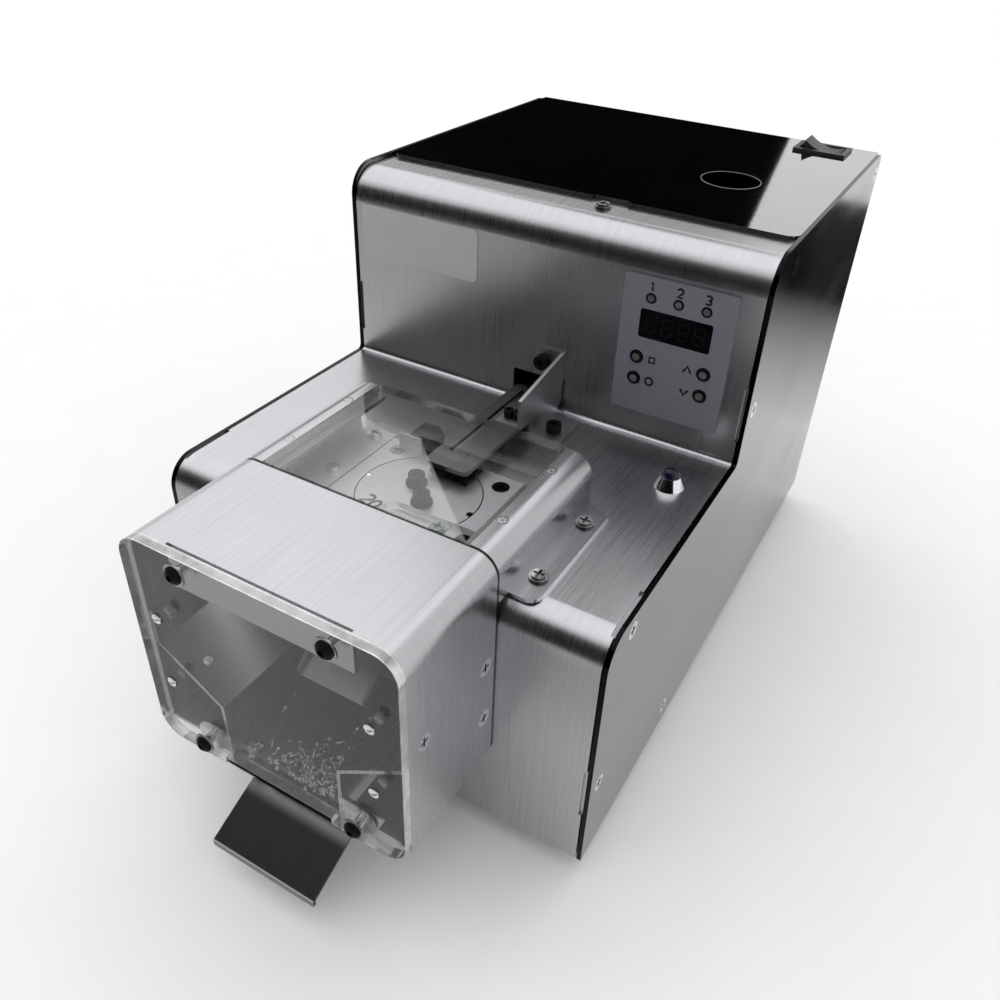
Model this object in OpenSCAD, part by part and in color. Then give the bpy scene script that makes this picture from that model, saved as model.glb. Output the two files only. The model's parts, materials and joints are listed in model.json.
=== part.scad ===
// Screw counting machine: a stepped sheet-metal body with a storage bin and lift wheel at the back,
// a vibrating feed rail, an index disc under a clear lid, and a collector box with a discharge gate.
// Millimetres. +X right seen from the front, +Y to the back, +Z up. The front is at -Y.
// Each part is drawn from the front face of the body and the lower edge of its side panels.

/* [Body] */
// Width over the side panels
body_w = 160; // [140:1:200]
// Depth from the front face to the back face
body_d = 252; // [248:1:300]
// Height of the side panels
body_h = 166; // [158:1:190]
// Height of the deck above the lower edge of the side panels
deck_h = 93; // [90:1:100]
// Distance from the front face to the upper wall
step_y = 103; // [98:1:112]
// Thickness of the folded sheet
sheet_t = 1.2; // [0.8:0.1:1.5]
// Thickness of the side panels and the back panel
panel_t = 1.5; // [1.5:0.1:2.5]
// Gap between the folded sheet and a side panel
panel_gap = 0.4; // [0.2:0.1:1]
// Outer radius of the bend at the front of the deck
deck_bend_r = 10; // [6:0.5:12]
// Outer radius of the bend at the top of the upper wall
top_bend_r = 11; // [6:0.5:14]
// Radius of the inner bend between deck and upper wall
inner_bend_r = 2; // [1:0.5:3]
// Radius of the panels' upper back corner
back_corner_r = 4; // [2:0.5:8]
// Length of the sheet's flange behind the upper wall
top_flange = 30; // [26:1:36]
// Height of the base plate above the lower edge of the panels
base_lift = 1; // [0.5:0.1:3]
// Height of the base plate's side flanges
base_flange = 13; // [11:1:20]

/* [Top cover] */
// Thickness of the top cover
cover_t = 1.5; // [1:0.1:2]
// Distance from the upper wall to the cover's front edge
cover_setback = 23; // [20:0.5:26]
// Radius of the cover's front corners
cover_corner_r = 4; // [2:0.5:8]
// Diameter of the filling port
port_d = 22; // [16:1:26]
// Distance of the filling port to the right of the middle
port_x = 40.5; // [25:0.5:45]
// Distance of the filling port behind the upper wall
port_back = 71; // [60:1:75]

/* [Feet] */
// Height of the feet below the panels
foot_h = 8; // [5:0.5:15]
// Radius of the feet
foot_r = 8; // [5:0.5:10]
// Distance of the feet from the side faces
foot_inset_x = 18; // [14:1:30]
// Distance of the feet from the front and back faces
foot_inset_y = 22; // [14:1:40]

/* [Collector box] */
// Width of the collector box
box_w = 92; // [86:1:110]
// Distance from the body's front face to the window's back
box_reach = 42.7; // [40:0.1:55]
// Height of the box and disc cover above the deck
cover_rise = 16.4; // [16:0.1:20]
// Height of the box's side walls
box_side_h = 75.4; // [70:0.2:80]
// Outer radius of the box's top bends
box_bend_r = 7.5; // [5:0.5:8]
// Depth of the lip folded down behind the window
box_lip = 14; // [11:0.5:18]
// Half width of the folded lip
box_lip_half = 30.6; // [29:0.2:36]
// Thickness of the window
window_t = 3.2; // [2:0.1:5]
// Distance that the window reaches below the side walls
window_lap = 3; // [2:0.1:3.5]
// Height of the notch under the window
window_notch = 2.5; // [1.5:0.1:3]
// Sideways place of the upper window screws
window_screw_top_x = 25; // [20:0.5:27]
// Sideways place of the lower window screws
window_screw_low_x = 28.3; // [27:0.1:32]

/* [Guide plates] */
// Height of the guides' upper bend above the walls' lower edge
guide_top = 33; // [30:0.5:38]
// Height of the guides' lower bend above the walls' lower edge
guide_low = 17.9; // [15:0.1:22]
// Height of the flange that holds a guide to its wall
guide_flange = 12; // [10:0.5:16]
// Clearance between a guide and the gate
guide_gap = 0.6; // [0.4:0.1:1]

/* [Discharge gate] */
// Width of the discharge gate
gate_w = 39.6; // [36:0.2:42]
// Fall of the gate's floor from back to front
gate_fall = 11.2; // [9:0.2:13]
// Clearance between the gate's floor and the window's notch
gate_gap = 1.8; // [1.2:0.1:2]
// Distance of the lip in front of the body's front face
lip_reach = 57; // [54:0.5:64]
// Height of the lip above the lower edge of the panels
lip_z = 6.2; // [5:0.2:9]
// Slope of the gate's spout in degrees
spout_slope = 25; // [22:0.5:27]
// Height of the turned-down lip
lip_h = 2.6; // [2:0.1:4]
// Radius of the gate's pin
pin_r = 1.5; // [1:0.1:2]
// Radial clearance of the gate on its pin
pin_gap = 0.05; // [0.02:0.01:0.1]
// Distance of the pin in front of the body's front face
pin_front = 4; // [3.5:0.1:5]
// Height of the pin above the walls' lower edge
pin_up = 2; // [1:0.1:3]

/* [Index disc] */
// Distance from the front face to the disc's axis
disc_y = 29; // [28.5:0.1:30]
// Radius of the index disc
disc_r = 20; // [18:0.2:20.5]
// Thickness of the index disc
disc_t = 3; // [2.5:0.1:3]
// Radial gap between the disc and its plate
disc_gap = 0.4; // [0.3:0.05:0.6]
// Thickness of the disc plate and the side plate
plate_t = 2; // [1.8:0.1:3]
// Radius of the notch that carries a screw
notch_r = 1.15; // [0.8:0.05:1.8]
// Direction of the notch in degrees
notch_turn = -3; // [-15:1:15]
// Distance of the disc's screws from its axis
disc_screw_r = 5.3; // [5:0.1:5.8]
// Direction of the disc's screws in degrees
disc_screw_turn = 133; // [100:1:160]
// Radius of the index motor's shaft
shaft_r = 2.5; // [2:0.1:3]
// Radial clearance of a shaft in its bearing
shaft_gap = 0.05; // [0.02:0.01:0.1]
// Side length of the index motor
motor_side = 28; // [24:1:28]
// Length of the index motor
motor_len = 32; // [26:1:40]

/* [Lid] */
// Half width of the opening between the cover strips
lid_half = 36.5; // [34:0.1:37]
// Clearance around the lid
lid_gap = 0.3; // [0.2:0.05:0.5]
// Thickness of the clear lid
lid_t = 3; // [2:0.1:3.5]
// Length of the disc cover
cover_len = 57.5; // [56:0.5:62]
// Width of the disc cover's foot flange
foot_flange = 9.4; // [8:0.1:12]

/* [Feed rail] */
// Width of the slot that the screws hang in
slot_w = 2.2; // [1.2:0.1:3]
// Width of the feed rail
rail_w = 12; // [9:0.2:12]
// Depth of the slot
slot_depth = 9; // [7:0.5:9]
// Clearance at each side of the rail
rail_gap = 0.6; // [0.4:0.1:1]
// Gap between the rail and the disc's rim
rail_disc_gap = 1; // [0.8:0.1:1.2]
// Travel of the rail's vibration each way
rail_swing = 0.4; // [0.2:0.05:0.5]
// Thickness of the leaf springs
leaf_t = 0.8; // [0.5:0.1:1]

/* [Hold-down plate] */
// Room for a screw head under the hold-down plate
head_room = 4; // [3.8:0.1:4.5]
// Thickness of the hold-down plate
hold_t = 1.5; // [1:0.1:1.5]
// Left edge of the hold-down plate from the slot
hold_left = 5; // [3:0.1:5.5]
// Right edge of the hold-down plate from the slot
hold_right = 11; // [10:0.1:13]
// Distance that the hold-down plate reaches over the disc
hold_over = 10; // [8:0.5:10.5]
// Clearance of the bristles above the disc
bristle_gap = 0.5; // [0.3:0.1:1]
// Height of the bracket above the deck at the wall
bracket_h = 24; // [23:0.5:30]

/* [Storage bin and lift wheel] */
// Inner radius of the bin
bin_r = 46; // [44:0.5:48]
// Length of the bin
bin_len = 74; // [72:1:80]
// Height of the bin's side walls above the wheel's axis
bin_wall = 46; // [42:1:48]
// Height of the wheel's axis above the rail
wheel_up = 9; // [8:0.5:10]
// Gap between the wheel and the bin
wheel_gap = 0.6; // [0.4:0.1:1]
// Number of scoops on the wheel
scoops = 6; // [4:1:10]
// Depth of the scoops in front of the wheel
scoop_depth = 8; // [6:0.5:9]
// Radius of the wheel's shaft
wheel_shaft_r = 3; // [2.5:0.1:4]

/* [Controls] */
// Width of the control plate
control_w = 38.6; // [37:0.1:42]
// Height of the control plate
control_h = 49; // [47:0.5:52]
// Thickness of the control plate
control_t = 1; // [0.6:0.1:1]
// Distance of the control plate from the right side face
control_right = 9.6; // [7:0.1:12]
// Room under the control plate, down to the deck
control_up = 10; // [8:0.5:14]
// Room over the control plate, up to the top of the panels
control_top = 14; // [12:0.5:20]
// Radius of the push buttons
button_r = 2.1; // [1.8:0.1:2.3]
// Travel of the push buttons
button_travel = 0.8; // [0.4:0.1:0.8]
// Radial clearance of a push button
button_gap = 0.3; // [0.2:0.05:0.4]
// Length of the switch's frame
switch_l = 21; // [20:0.5:23]
// Width of the switch's frame
switch_w = 15; // [14:0.5:17]
// Tilt of the switch's paddle in degrees
switch_tilt = 12; // [8:1:14]
// Distance of the switch from the right side face
switch_right = 22; // [18:0.5:26]
// Distance of the switch from the back face
switch_back = 12; // [11:0.5:14]
// Distance of the signal lamp from the right side face
lamp_right = 15.6; // [12:0.2:20]
// Distance of the signal lamp in front of the upper wall
lamp_front = 23.4; // [15:0.2:30]
// Radius of the signal lamp's frame
lamp_r = 5.2; // [4.5:0.1:6.5]

/* [Fasteners] */
// Radius of a screw's shank
screw_r = 1.5; // [1.2:0.1:1.6]
// Radius of a pan or countersunk head
head_r = 2.9; // [2.5:0.1:3.1]
// Height of a pan head
head_h = 1.6; // [1.4:0.1:2.2]
// Clearance of a screw in its hole
hole_gap = 0.1; // [0.05:0.05:0.2]

/* [Hidden] */
$fn = 48;
// A small overlap that lets a cut pass its face
eps = 0.5;

// Place of the front face, so that the whole machine is centred on the origin
front_y = (lip_reach - body_d) / 2;

// Body
inner_half = body_w / 2 - panel_t;
wrap_half = inner_half - panel_gap;
wrap_top = body_h - cover_t;
flange_end = step_y + top_flange;
wall_back = step_y + sheet_t;
floor_z = base_lift + sheet_t;
deck_under = deck_h - sheet_t;
back_in = body_d - panel_t;
cover_y = step_y + cover_setback;
port_y = step_y + port_back;
screw_hole = screw_r + hole_gap;
screw_len = 6;
tab_t = 2;
tab_len = 20;
tab_h = 11;
// Screw places on a side panel as depth and height
front_tab = [6.5, 32];
deck_tab = [16, deck_h - 5.5];
wall_tab = [step_y + 7, deck_h + 19];
top_tab = [step_y + 22, body_h - 8.5];
base_tab = [67, 8];
back_tabs = [[body_d - 4.5, body_h - 7.5], [body_d - 4.5, deck_h + 13]];
side_tabs = concat([front_tab, deck_tab, wall_tab, top_tab, base_tab], back_tabs);
top_screw = [13.7, step_y + 17];
// Depth of the cut-out in the cover's edge at the top screw, and half its width
cover_cut = 1.2;
cover_cut_half = 6.7;

// Collector box
box_half = box_w / 2;
box_top = deck_h + cover_rise;
box_low = box_top - box_side_h;
// The window stands just off the box's edge
window_seat = 0.05;
window_y = -box_reach - window_seat - window_t;
window_low = box_low - window_lap;
window_top_screw_z = box_top - 5.6;
window_low_screw_z = box_low + 1;
washer_t = 0.5;
washer_r = 3.6;
button_head_h = 1.7;
button_rim = 0.4;
// Countersunk screws in the box's walls as depth and height
box_screws = [[-box_reach + 6.7, box_low + 39], [-5.5, box_low + 39], [-5.5, box_low + 18]];

// Guides and gate
gate_half = gate_w / 2;
guide_x = gate_half + guide_gap;
ear_r = 5.5;
// Lower edges of the box, folded in clear of the window's screws and the gate's pin
box_floor_gap = 0.6;
box_floor_x = guide_x + 2 * sheet_t + box_floor_gap;
box_floor_front = -box_reach + 3.5;
box_floor_ear = window_screw_low_x + ear_r + box_floor_gap;
box_floor_rear = -0.3;
guide_wall_x = box_half - 2 * sheet_t;
guide_up_z = box_low + guide_top;
guide_down_z = box_low + guide_low;
guide_end_z = box_low - 3.5;
notch_half = gate_half + 0.4;
gate_front = window_y + 0.3;
gate_rear = -1;
gate_front_z = window_low + window_notch - gate_gap;
gate_slope = gate_fall / (gate_rear - gate_front);
pin_y = -pin_front;
pin_z = box_low + pin_up;
spout_rear = -24;
gate_ear_front = -31;
gate_ear_low = pin_z - 4;
function gate_z(y) = gate_front_z + gate_slope * (y - gate_front);
function spout_z(y) = lip_z + tan(spout_slope) * (y + lip_reach);

// Drop slide
slide_half = 13.2;
slide_ear = 7;
slide_ear_drop = 6;
slide_ear_rise = 3;
slide_top = [13, deck_h - 20];
slide_end = [-19.5, box_low + 16.2];
slide_wall = 6;
// Opening in the wrap below the disc and at the slide
mech_half = 23;
mech_rear = 48;
mech_low = box_low + 21;

// Disc chamber
rail_z = deck_h + plate_t;
plate_left = -25.5;
plate_right = 31;
plate_front = 1.5;
plate_rear = disc_y + disc_r + 2.3;
side_plate_left = -39.3;
side_plate_gap = 0.5;
side_plate_rear = plate_rear + 1.8;
side_plate_r = 6;
csk_plate = [20, plate_rear - 5.5];
side_plate_screws = [[-31, 24.7], [-32, side_plate_rear - 4.5]];
drop_r = 4;
drop_y = disc_y - disc_r - 1.5;
guard_left = -4;
guard_right = 30;
guard_y0 = 6;
guard_y1 = disc_y - 10;
guard_t = 2;
guard_gap = 0.4;
guard_r = 5;
guard_screws = [[17.1, 13.6], [26.5, 13.2]];
lid_z = box_top - lid_t;
ledge_t = 1.5;
ledge_in = 3.5;
ledge_out = box_half - box_bend_r;
lid_seat = 0.1;
// Pan-head screws in the disc cover's foot flange
flange_screw_in = 4.5;
flange_screw_x = box_half + foot_flange - flange_screw_in;
flange_screws = [14.3, 43.9];
foot_flange_y0 = 4.4;
foot_corner = 4;
foot_rear_out = 6.3;
foot_rear_in = 2;

// Hold-down plate, brush and bracket
hold_z = rail_z + head_room;
hold_y0 = disc_y + hold_over;
hold_y1 = step_y - 2.5;
hold_r = 2;
slit_y0 = disc_y + disc_r - 0.7;
slit_y1 = step_y - 6;
bristle_w = 2;
bristle_len = 26;
bracket_x = hold_right + 0.3;
bracket_y0 = step_y - 32;
bracket_front_h = 18.8;
tab_y1 = bracket_y0 + 9;
bracket_foot = 10.5;
bracket_foot_y = [step_y - 25, step_y - 5];
wall_flange_left = 0.6;
wall_hole_half = 8.2;
wall_hole_h = 12;
wall_screw = [4.5, deck_h + 19];
foot_screw = [bracket_x + 6.2, step_y - 16];
hold_screws = [[5.5, bracket_y0 + 4.5], [9, bracket_y0 + 5]];
socket_r = 2.75;
socket_h = 3;

// Feed rail and vibrator
rail_half = rail_w / 2;
slot_half = slot_w / 2;
rail_low = rail_z - slot_depth - 2;
rail_front = disc_y + disc_r - 1;
bin_y0 = step_y + 15;
bin_y1 = bin_y0 + bin_len;
wheel_t = 4;
wheel_front = bin_y1 - 7;
rail_rear = wheel_front - scoop_depth - 1;
rail_foot_half = 8;
rail_foot_h = 10;
rail_foot_y = [60, step_y - 5];
leaf_half = 6.5;
leaf_y = [rail_foot_y[0] + 4, rail_foot_y[1] - 4];
leaf_gap = rail_swing + 0.1;
leaf_in = 5;
vibrator_half = 14;
vibrator_top = 34;
leaf_low = 24;
coil_half = 9;
coil_y = [72, 86];
coil_top = rail_low - rail_foot_h - 8;

// Index drive
hub_t = 2;
hub_r = 9;
disc_low = rail_z - disc_t;
hub_low = disc_low - hub_t;
bracket_t = 1.5;
motor_plate_z = hub_low - 0.5 - bracket_t;
motor_low = motor_plate_z - motor_len;
shaft_low = motor_plate_z - 18;
motor_plate_half = 30;
standoff_x = 26.5;
standoff_y = [18, 42];
standoff_r = 3;
disc_head_r = 2.75;
disc_washer_r = 3.5;
disc_washer_t = 0.8;

// Storage bin and lift wheel
wheel_z = rail_z + wheel_up;
bin_top = wheel_z + bin_wall;
wheel_r = bin_r - wheel_gap;
scoop_in = 30;
scoop_t = 1.5;
scoop_lip = 6;
wheel_hub_r = 8;
wheel_hub_t = 2;
wheel_plate_half = bin_r + 4;
wheel_plate_t = 1.5;
gearbox_r = 18.5;
gearbox_len = 22;
lift_motor_r = 16;
// Free room between the gear motor and the back panel
motor_back_gap = 7;
// The motor fills the room between its gearbox and that gap
lift_motor_len = back_in - motor_back_gap - (bin_y1 + wheel_plate_t + gearbox_len);
wheel_shaft_in = 12;

// Controls
control_x1 = body_w / 2 - control_right;
control_corner = 0.8;
display_corner = 0.8;
control_x0 = control_x1 - control_w;
control_x = (control_x0 + control_x1) / 2;
// The wall's free height is shared between the rooms under and over the plate
control_room = body_h - deck_h - control_h;
control_z0 = deck_h + control_room * control_up / (control_up + control_top);
control_z1 = control_z0 + control_h;
// The top bend stays above the plate's flat seat
top_bend = min(top_bend_r, wrap_top - control_z1);
control_front = step_y - control_t;
display_half = 12.4;
display_h = 10;
display_z = control_z1 - 16;
led_r = 1.5;
led_pitch = 9.5;
led_z = control_z1 - 7;
button_x = 11.9;
button_z = [control_z0 + 20.5, control_z0 + 12.5];
button_proud = 0.6;
button_flange = 0.7;
board_gap = 3.8;
board_t = 1.6;
board_y = wall_back + board_gap;
board_edge = 2;
spacer_r = 2;
switch_x = body_w / 2 - switch_right;
switch_y = body_d - switch_back;
switch_frame_h = 1.1;
switch_body_gap = 0.9;
switch_body_h = 17;
switch_pivot_z = body_h - 1.5;
paddle_r = 7.6;
paddle_h = 4.6;
paddle_w = 10.4;
paddle_gap = 0.4;
paddle_pin_r = 1.2;
lamp_x = body_w / 2 - lamp_right;
lamp_y = step_y - lamp_front;
lamp_h = 4;
lamp_bore = 2.7;
lamp_shank = 3;
lens_r = 2.6;
inlet_side = 25;
inlet_x = body_w / 2 - inlet_side;
inlet_z = 28;
inlet_r = 5.5;
inlet_half = 7;
inlet_depth = 15;
plug_r = 2.75;
plug_depth = 10;
contact_r = 1;

// Control board under the bin
main_board_x = [-34, 40];
main_board_edge = 4;
main_board_lift = 9.8;
main_board_spacer = 3;
// Place of each block on the board from its left front corner, and its size
board_blocks = [[[12, 10], [18, 30, 11]], [[50, 14], [14, 16, 7]], [[62, 30], [7, 22, 9]]];

// Moves a part from the machine's own corner to its place on the feet
module placed() {
  translate([0, front_y, foot_h]) children();
}
// A box between two corners
module block(x, y, z) {
  translate([x[0], y[0], z[0]]) cube([x[1] - x[0], y[1] - y[0], z[1] - z[0]]);
}
// A flat outline in Y and Z, carried along X
module along_x(x) {
  translate([x[0], 0, 0]) rotate([90, 0, 90]) linear_extrude(x[1] - x[0]) children();
}
// A flat outline in X and Z, carried along Y
module along_y(y) {
  translate([0, y[1], 0]) rotate([90, 0, 0]) linear_extrude(y[1] - y[0]) children();
}
// A flat outline in X and Y, carried along Z
module along_z(z) {
  translate([0, 0, z[0]]) linear_extrude(z[1] - z[0]) children();
}
// Round rods along the three axes
module rod_x(x, r) {
  translate([x[0], 0, 0]) rotate([0, 90, 0]) cylinder(h = x[1] - x[0], r = r);
}
module rod_y(y, r) {
  translate([0, y[1], 0]) rotate([90, 0, 0]) cylinder(h = y[1] - y[0], r = r);
}
module rod_z(z, r) {
  translate([0, 0, z[0]]) cylinder(h = z[1] - z[0], r = r);
}
// The same shape on the right and on the left
module both_sides() {
  children();
  mirror([1, 0, 0]) children();
}
// A rectangle whose lower left and upper right corners are given, with all corners rounded
module rounded(a, b, r) {
  translate(a + [r, 0]) square(b - a - [2 * r, 0]);
  translate(a + [0, r]) square(b - a - [0, 2 * r]);
  for (x = [a[0] + r, b[0] - r], y = [a[1] + r, b[1] - r]) translate([x, y]) circle(r);
}
// A rectangle with its upper left corner rounded
module left_rounded(a, b, r) {
  translate(a + [r, 0]) square(b - a - [r, 0]);
  translate(a) square(b - a - [b[0] - a[0] - r, r]);
  translate([a[0] + r, b[1] - r]) circle(r);
}
// The outline of a sheet of even thickness, folded along a line of points
function unit(v) = v / norm(v);
function side_way(p, i) = let (d = unit(p[i + 1] - p[i])) [-d[1], d[0]];
function side_point(p, i, t) =
  i == 0 ? p[0] + side_way(p, 0) * t :
  i == len(p) - 1 ? p[i] + side_way(p, i - 1) * t :
  let (a = side_way(p, i - 1), b = side_way(p, i)) p[i] + (a + b) * t / (1 + a * b);
module folded(p, t) {
  polygon(concat(p, [for (i = [len(p) - 1:-1:0]) side_point(p, i, t)]));
}

// Screws stand on the XY plane with the head above it
module cross_cut(r, z) {
  for (a = [0, 90]) rotate(a) block([-r * 0.6, r * 0.6], [-r * 0.13, r * 0.13], [z - 1, z + eps]);
}
module pan_screw(r, h, len) {
  difference() {
    union() {
      rod_z([0, h * 0.5], r);
      rod_z([0, h], r * 0.8);
      rod_z([-len, eps], screw_r);
    }
    cross_cut(r, h);
  }
}
module csk_screw(depth, len) {
  difference() {
    union() {
      rod_z([-len, -depth / 2], screw_r);
      translate([0, 0, -depth]) cylinder(h = depth, r1 = screw_r, r2 = head_r);
    }
    cross_cut(head_r, 0);
  }
}
module socket_screw(r, h, len) {
  difference() {
    union() {
      rod_z([0, h], r);
      rod_z([-len, eps], screw_r);
    }
    translate([0, 0, h - 1.2]) cylinder(h = 2, r = r * 0.5, $fn = 6);
  }
}
// A low domed head on a short straight rim
module button_screw(r, h, len) {
  rise = h - button_rim;
  dome_r = (r * r + rise * rise) / (2 * rise);
  difference() {
    union() {
      intersection() {
        rod_z([0, h + 1], r);
        translate([0, 0, h - dome_r]) sphere(dome_r);
      }
      rod_z([-len, eps], screw_r);
    }
    translate([0, 0, h - 1.2]) cylinder(h = 2, r = r * 0.4, $fn = 6);
  }
}
module csk_hole(depth, len) {
  rod_z([-len, 0], screw_hole);
  translate([0, 0, -depth]) cylinder(h = depth, r1 = screw_hole, r2 = head_r + hole_gap);
  rod_z([-0.001, eps], head_r + hole_gap);
}
module to_right(x, p) {
  translate([x, p[0], p[1]]) rotate([0, 90, 0]) children();
}
module to_front(y, p) {
  translate([p[0], y, p[1]]) rotate([90, 0, 0]) children();
}
module to_top(z, p) {
  translate([p[0], p[1], z]) children();
}

// The stepped outline of the body, moved inwards by i
module stepped(i, y1, top, low) {
  left_rounded([i, low], [step_y + top_bend_r + i, deck_h - i], deck_bend_r - i);
  left_rounded([step_y + i, low], [y1, top - i], top_bend - i);
  difference() {
    translate([step_y - inner_bend_r, deck_h - i]) square(inner_bend_r + i);
    translate([step_y - inner_bend_r, deck_h + inner_bend_r]) circle(inner_bend_r + i);
  }
}

module base_plate() {
  color("gainsboro") placed() difference() {
    union() {
      block([-inner_half, inner_half], [sheet_t, back_in], [base_lift, floor_z]);
      both_sides() block([inner_half - sheet_t, inner_half], [foot_inset_y, body_d - foot_inset_y],
        [base_lift, base_lift + base_flange]);
    }
    both_sides() to_right(inner_half, base_tab) rod_z([-tab_t, eps], screw_hole);
  }
}
module feet() {
  color("dimgray") placed() both_sides() for (y = [foot_inset_y, body_d - foot_inset_y])
    translate([body_w / 2 - foot_inset_x, y, -foot_h]) difference() {
      cylinder(h = foot_h + base_lift, r1 = foot_r - 1, r2 = foot_r);
      rod_z([-eps, foot_h / 2], foot_r / 3);
    }
}
module side_panel() {
  placed() difference() {
    along_x([inner_half, inner_half + panel_t]) difference() {
      stepped(0, body_d, body_h, 0);
      translate([body_d - back_corner_r, body_h - back_corner_r]) difference() {
        square(back_corner_r + eps);
        circle(back_corner_r);
      }
    }
    for (p = side_tabs) to_right(inner_half + panel_t, p) csk_hole(panel_t, panel_t + eps);
  }
}
module side_panel_left() {
  color("silver") mirror([1, 0, 0]) side_panel();
}
module side_panel_right() {
  color("silver") side_panel();
}

// A tab folded in at the sheet's edge, with the relief in the sheet beside it
module tab_holes() {
  both_sides() for (p = [front_tab, deck_tab, wall_tab, top_tab])
    to_right(inner_half, p) rod_z([-2 * tab_t, eps], screw_hole);
}
module tabs() {
  x = [inner_half - tab_t, inner_half];
  both_sides() {
    block(x, [sheet_t - 0.2, sheet_t + tab_h], [front_tab[1] - tab_len / 2, front_tab[1] + tab_len / 2]);
    block(x, [deck_tab[0] - tab_len / 2, deck_tab[0] + tab_len / 2], [deck_under - tab_h,
      deck_under + 0.2]);
    block(x, [wall_back - 0.2, wall_back + tab_h], [wall_tab[1] - tab_len / 2, wall_tab[1] + tab_len / 2]);
    block(x, [top_tab[0] - 8, top_tab[0] + 7], [wrap_top - sheet_t - tab_h, wrap_top - sheet_t + 0.2]);
  }
}
module tab_reliefs() {
  x = [wrap_half - 0.9, wrap_half + 1];
  both_sides() {
    block(x, [-eps, sheet_t - 0.2], [front_tab[1] - tab_len / 2, front_tab[1] + tab_len / 2]);
    block(x, [deck_tab[0] - tab_len / 2, deck_tab[0] + tab_len / 2], [deck_under + 0.2, deck_h + eps]);
    block(x, [step_y - eps, wall_back - 0.2], [wall_tab[1] - tab_len / 2, wall_tab[1] + tab_len / 2]);
  }
}
module wall_holes() {
  for (i = [-1:1]) to_front(wall_back + eps, [control_x + i * led_pitch, led_z])
    rod_z([0, sheet_t + 1], led_r + hole_gap);
  block([control_x - display_half - 0.3, control_x + display_half + 0.3], [step_y - eps, wall_back + eps],
    [display_z - display_h / 2 - 0.3, display_z + display_h / 2 + 0.3]);
  for (s = [-1, 1], z = button_z) to_front(wall_back + eps, [control_x + s * button_x, z])
    rod_z([0, sheet_t + 1], button_r + button_gap);
  to_front(wall_back + eps, wall_screw) rod_z([0, sheet_t + 1], screw_hole);
  block([-wall_hole_half, wall_hole_half], [step_y - 3, wall_back + eps], [deck_h, deck_h + wall_hole_h]);
}
module deck_holes() {
  block([-mech_half, mech_half], [-eps, mech_rear], [mech_low, deck_h + eps]);
  block([-rail_half - rail_gap, rail_half + rail_gap], [mech_rear - 1, wall_back + 3], [rail_low - 1,
    rail_z + 1]);
  to_top(deck_h, [lamp_x, lamp_y]) rod_z([-3, eps], lamp_shank + hole_gap);
  both_sides() for (y = flange_screws) to_top(deck_h, [flange_screw_x, y]) rod_z([-3, eps], screw_hole);
  to_top(deck_h, foot_screw) rod_z([-3, eps], screw_hole);
}
module body_wrap() {
  color("lightgray") placed() difference() {
    union() {
      difference() {
        along_x([-wrap_half, wrap_half]) difference() {
          stepped(0, flange_end, wrap_top, 0);
          stepped(sheet_t, flange_end + 1, wrap_top, -1);
        }
        tab_reliefs();
        wall_holes();
        deck_holes();
        to_top(wrap_top, top_screw) rod_z([-3, eps], screw_hole);
      }
      tabs();
    }
    tab_holes();
  }
}
module back_panel() {
  color("silver") placed() difference() {
    union() {
      block([-inner_half, inner_half], [back_in, body_d], [0, wrap_top]);
      both_sides() block([inner_half - sheet_t, inner_half], [back_in - tab_h, back_in], [deck_h,
        wrap_top - 2]);
    }
    both_sides() for (p = back_tabs) to_right(inner_half, p) rod_z([-3, eps], screw_hole);
    to_front(body_d + eps, [inlet_x, inlet_z]) rod_z([0, panel_t + 1], inlet_r + hole_gap);
  }
}
module top_cover() {
  color("slategray") placed() difference() {
    along_z([wrap_top, body_h]) difference() {
      translate([-inner_half, cover_y]) square([2 * inner_half, body_d - cover_y]);
      both_sides() translate([inner_half - cover_corner_r, cover_y + cover_corner_r]) difference() {
        translate([0, -cover_corner_r - eps]) square(cover_corner_r + eps);
        circle(cover_corner_r);
      }
      translate([top_screw[0] - cover_cut_half, cover_y - eps])
        square([2 * cover_cut_half, cover_cut + eps]);
    }
    to_top(wrap_top, [port_x, port_y]) rod_z([-eps, cover_t + eps], port_d / 2);
    block([switch_x - switch_l / 2 + switch_body_gap - 0.1,
      switch_x + switch_l / 2 - switch_body_gap + 0.1],
      [switch_y - switch_w / 2 + switch_body_gap - 0.1, switch_y + switch_w / 2 - switch_body_gap + 0.1],
        [wrap_top - eps, body_h + eps]);
  }
}
module countersunk_screws() {
  color("whitesmoke") placed() both_sides() {
    for (p = side_tabs) to_right(inner_half + panel_t, p) csk_screw(panel_t, panel_t + tab_t);
    for (p = box_screws) to_right(box_half, p) csk_screw(sheet_t, sheet_t + 2.5);
  }
}
module pan_screws() {
  color("whitesmoke") placed() {
    both_sides() for (y = flange_screws) to_top(deck_h + sheet_t, [flange_screw_x, y])
      pan_screw(head_r, head_h, screw_len);
    to_top(wrap_top, top_screw) pan_screw(head_r, head_h, screw_len);
  }
}

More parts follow.
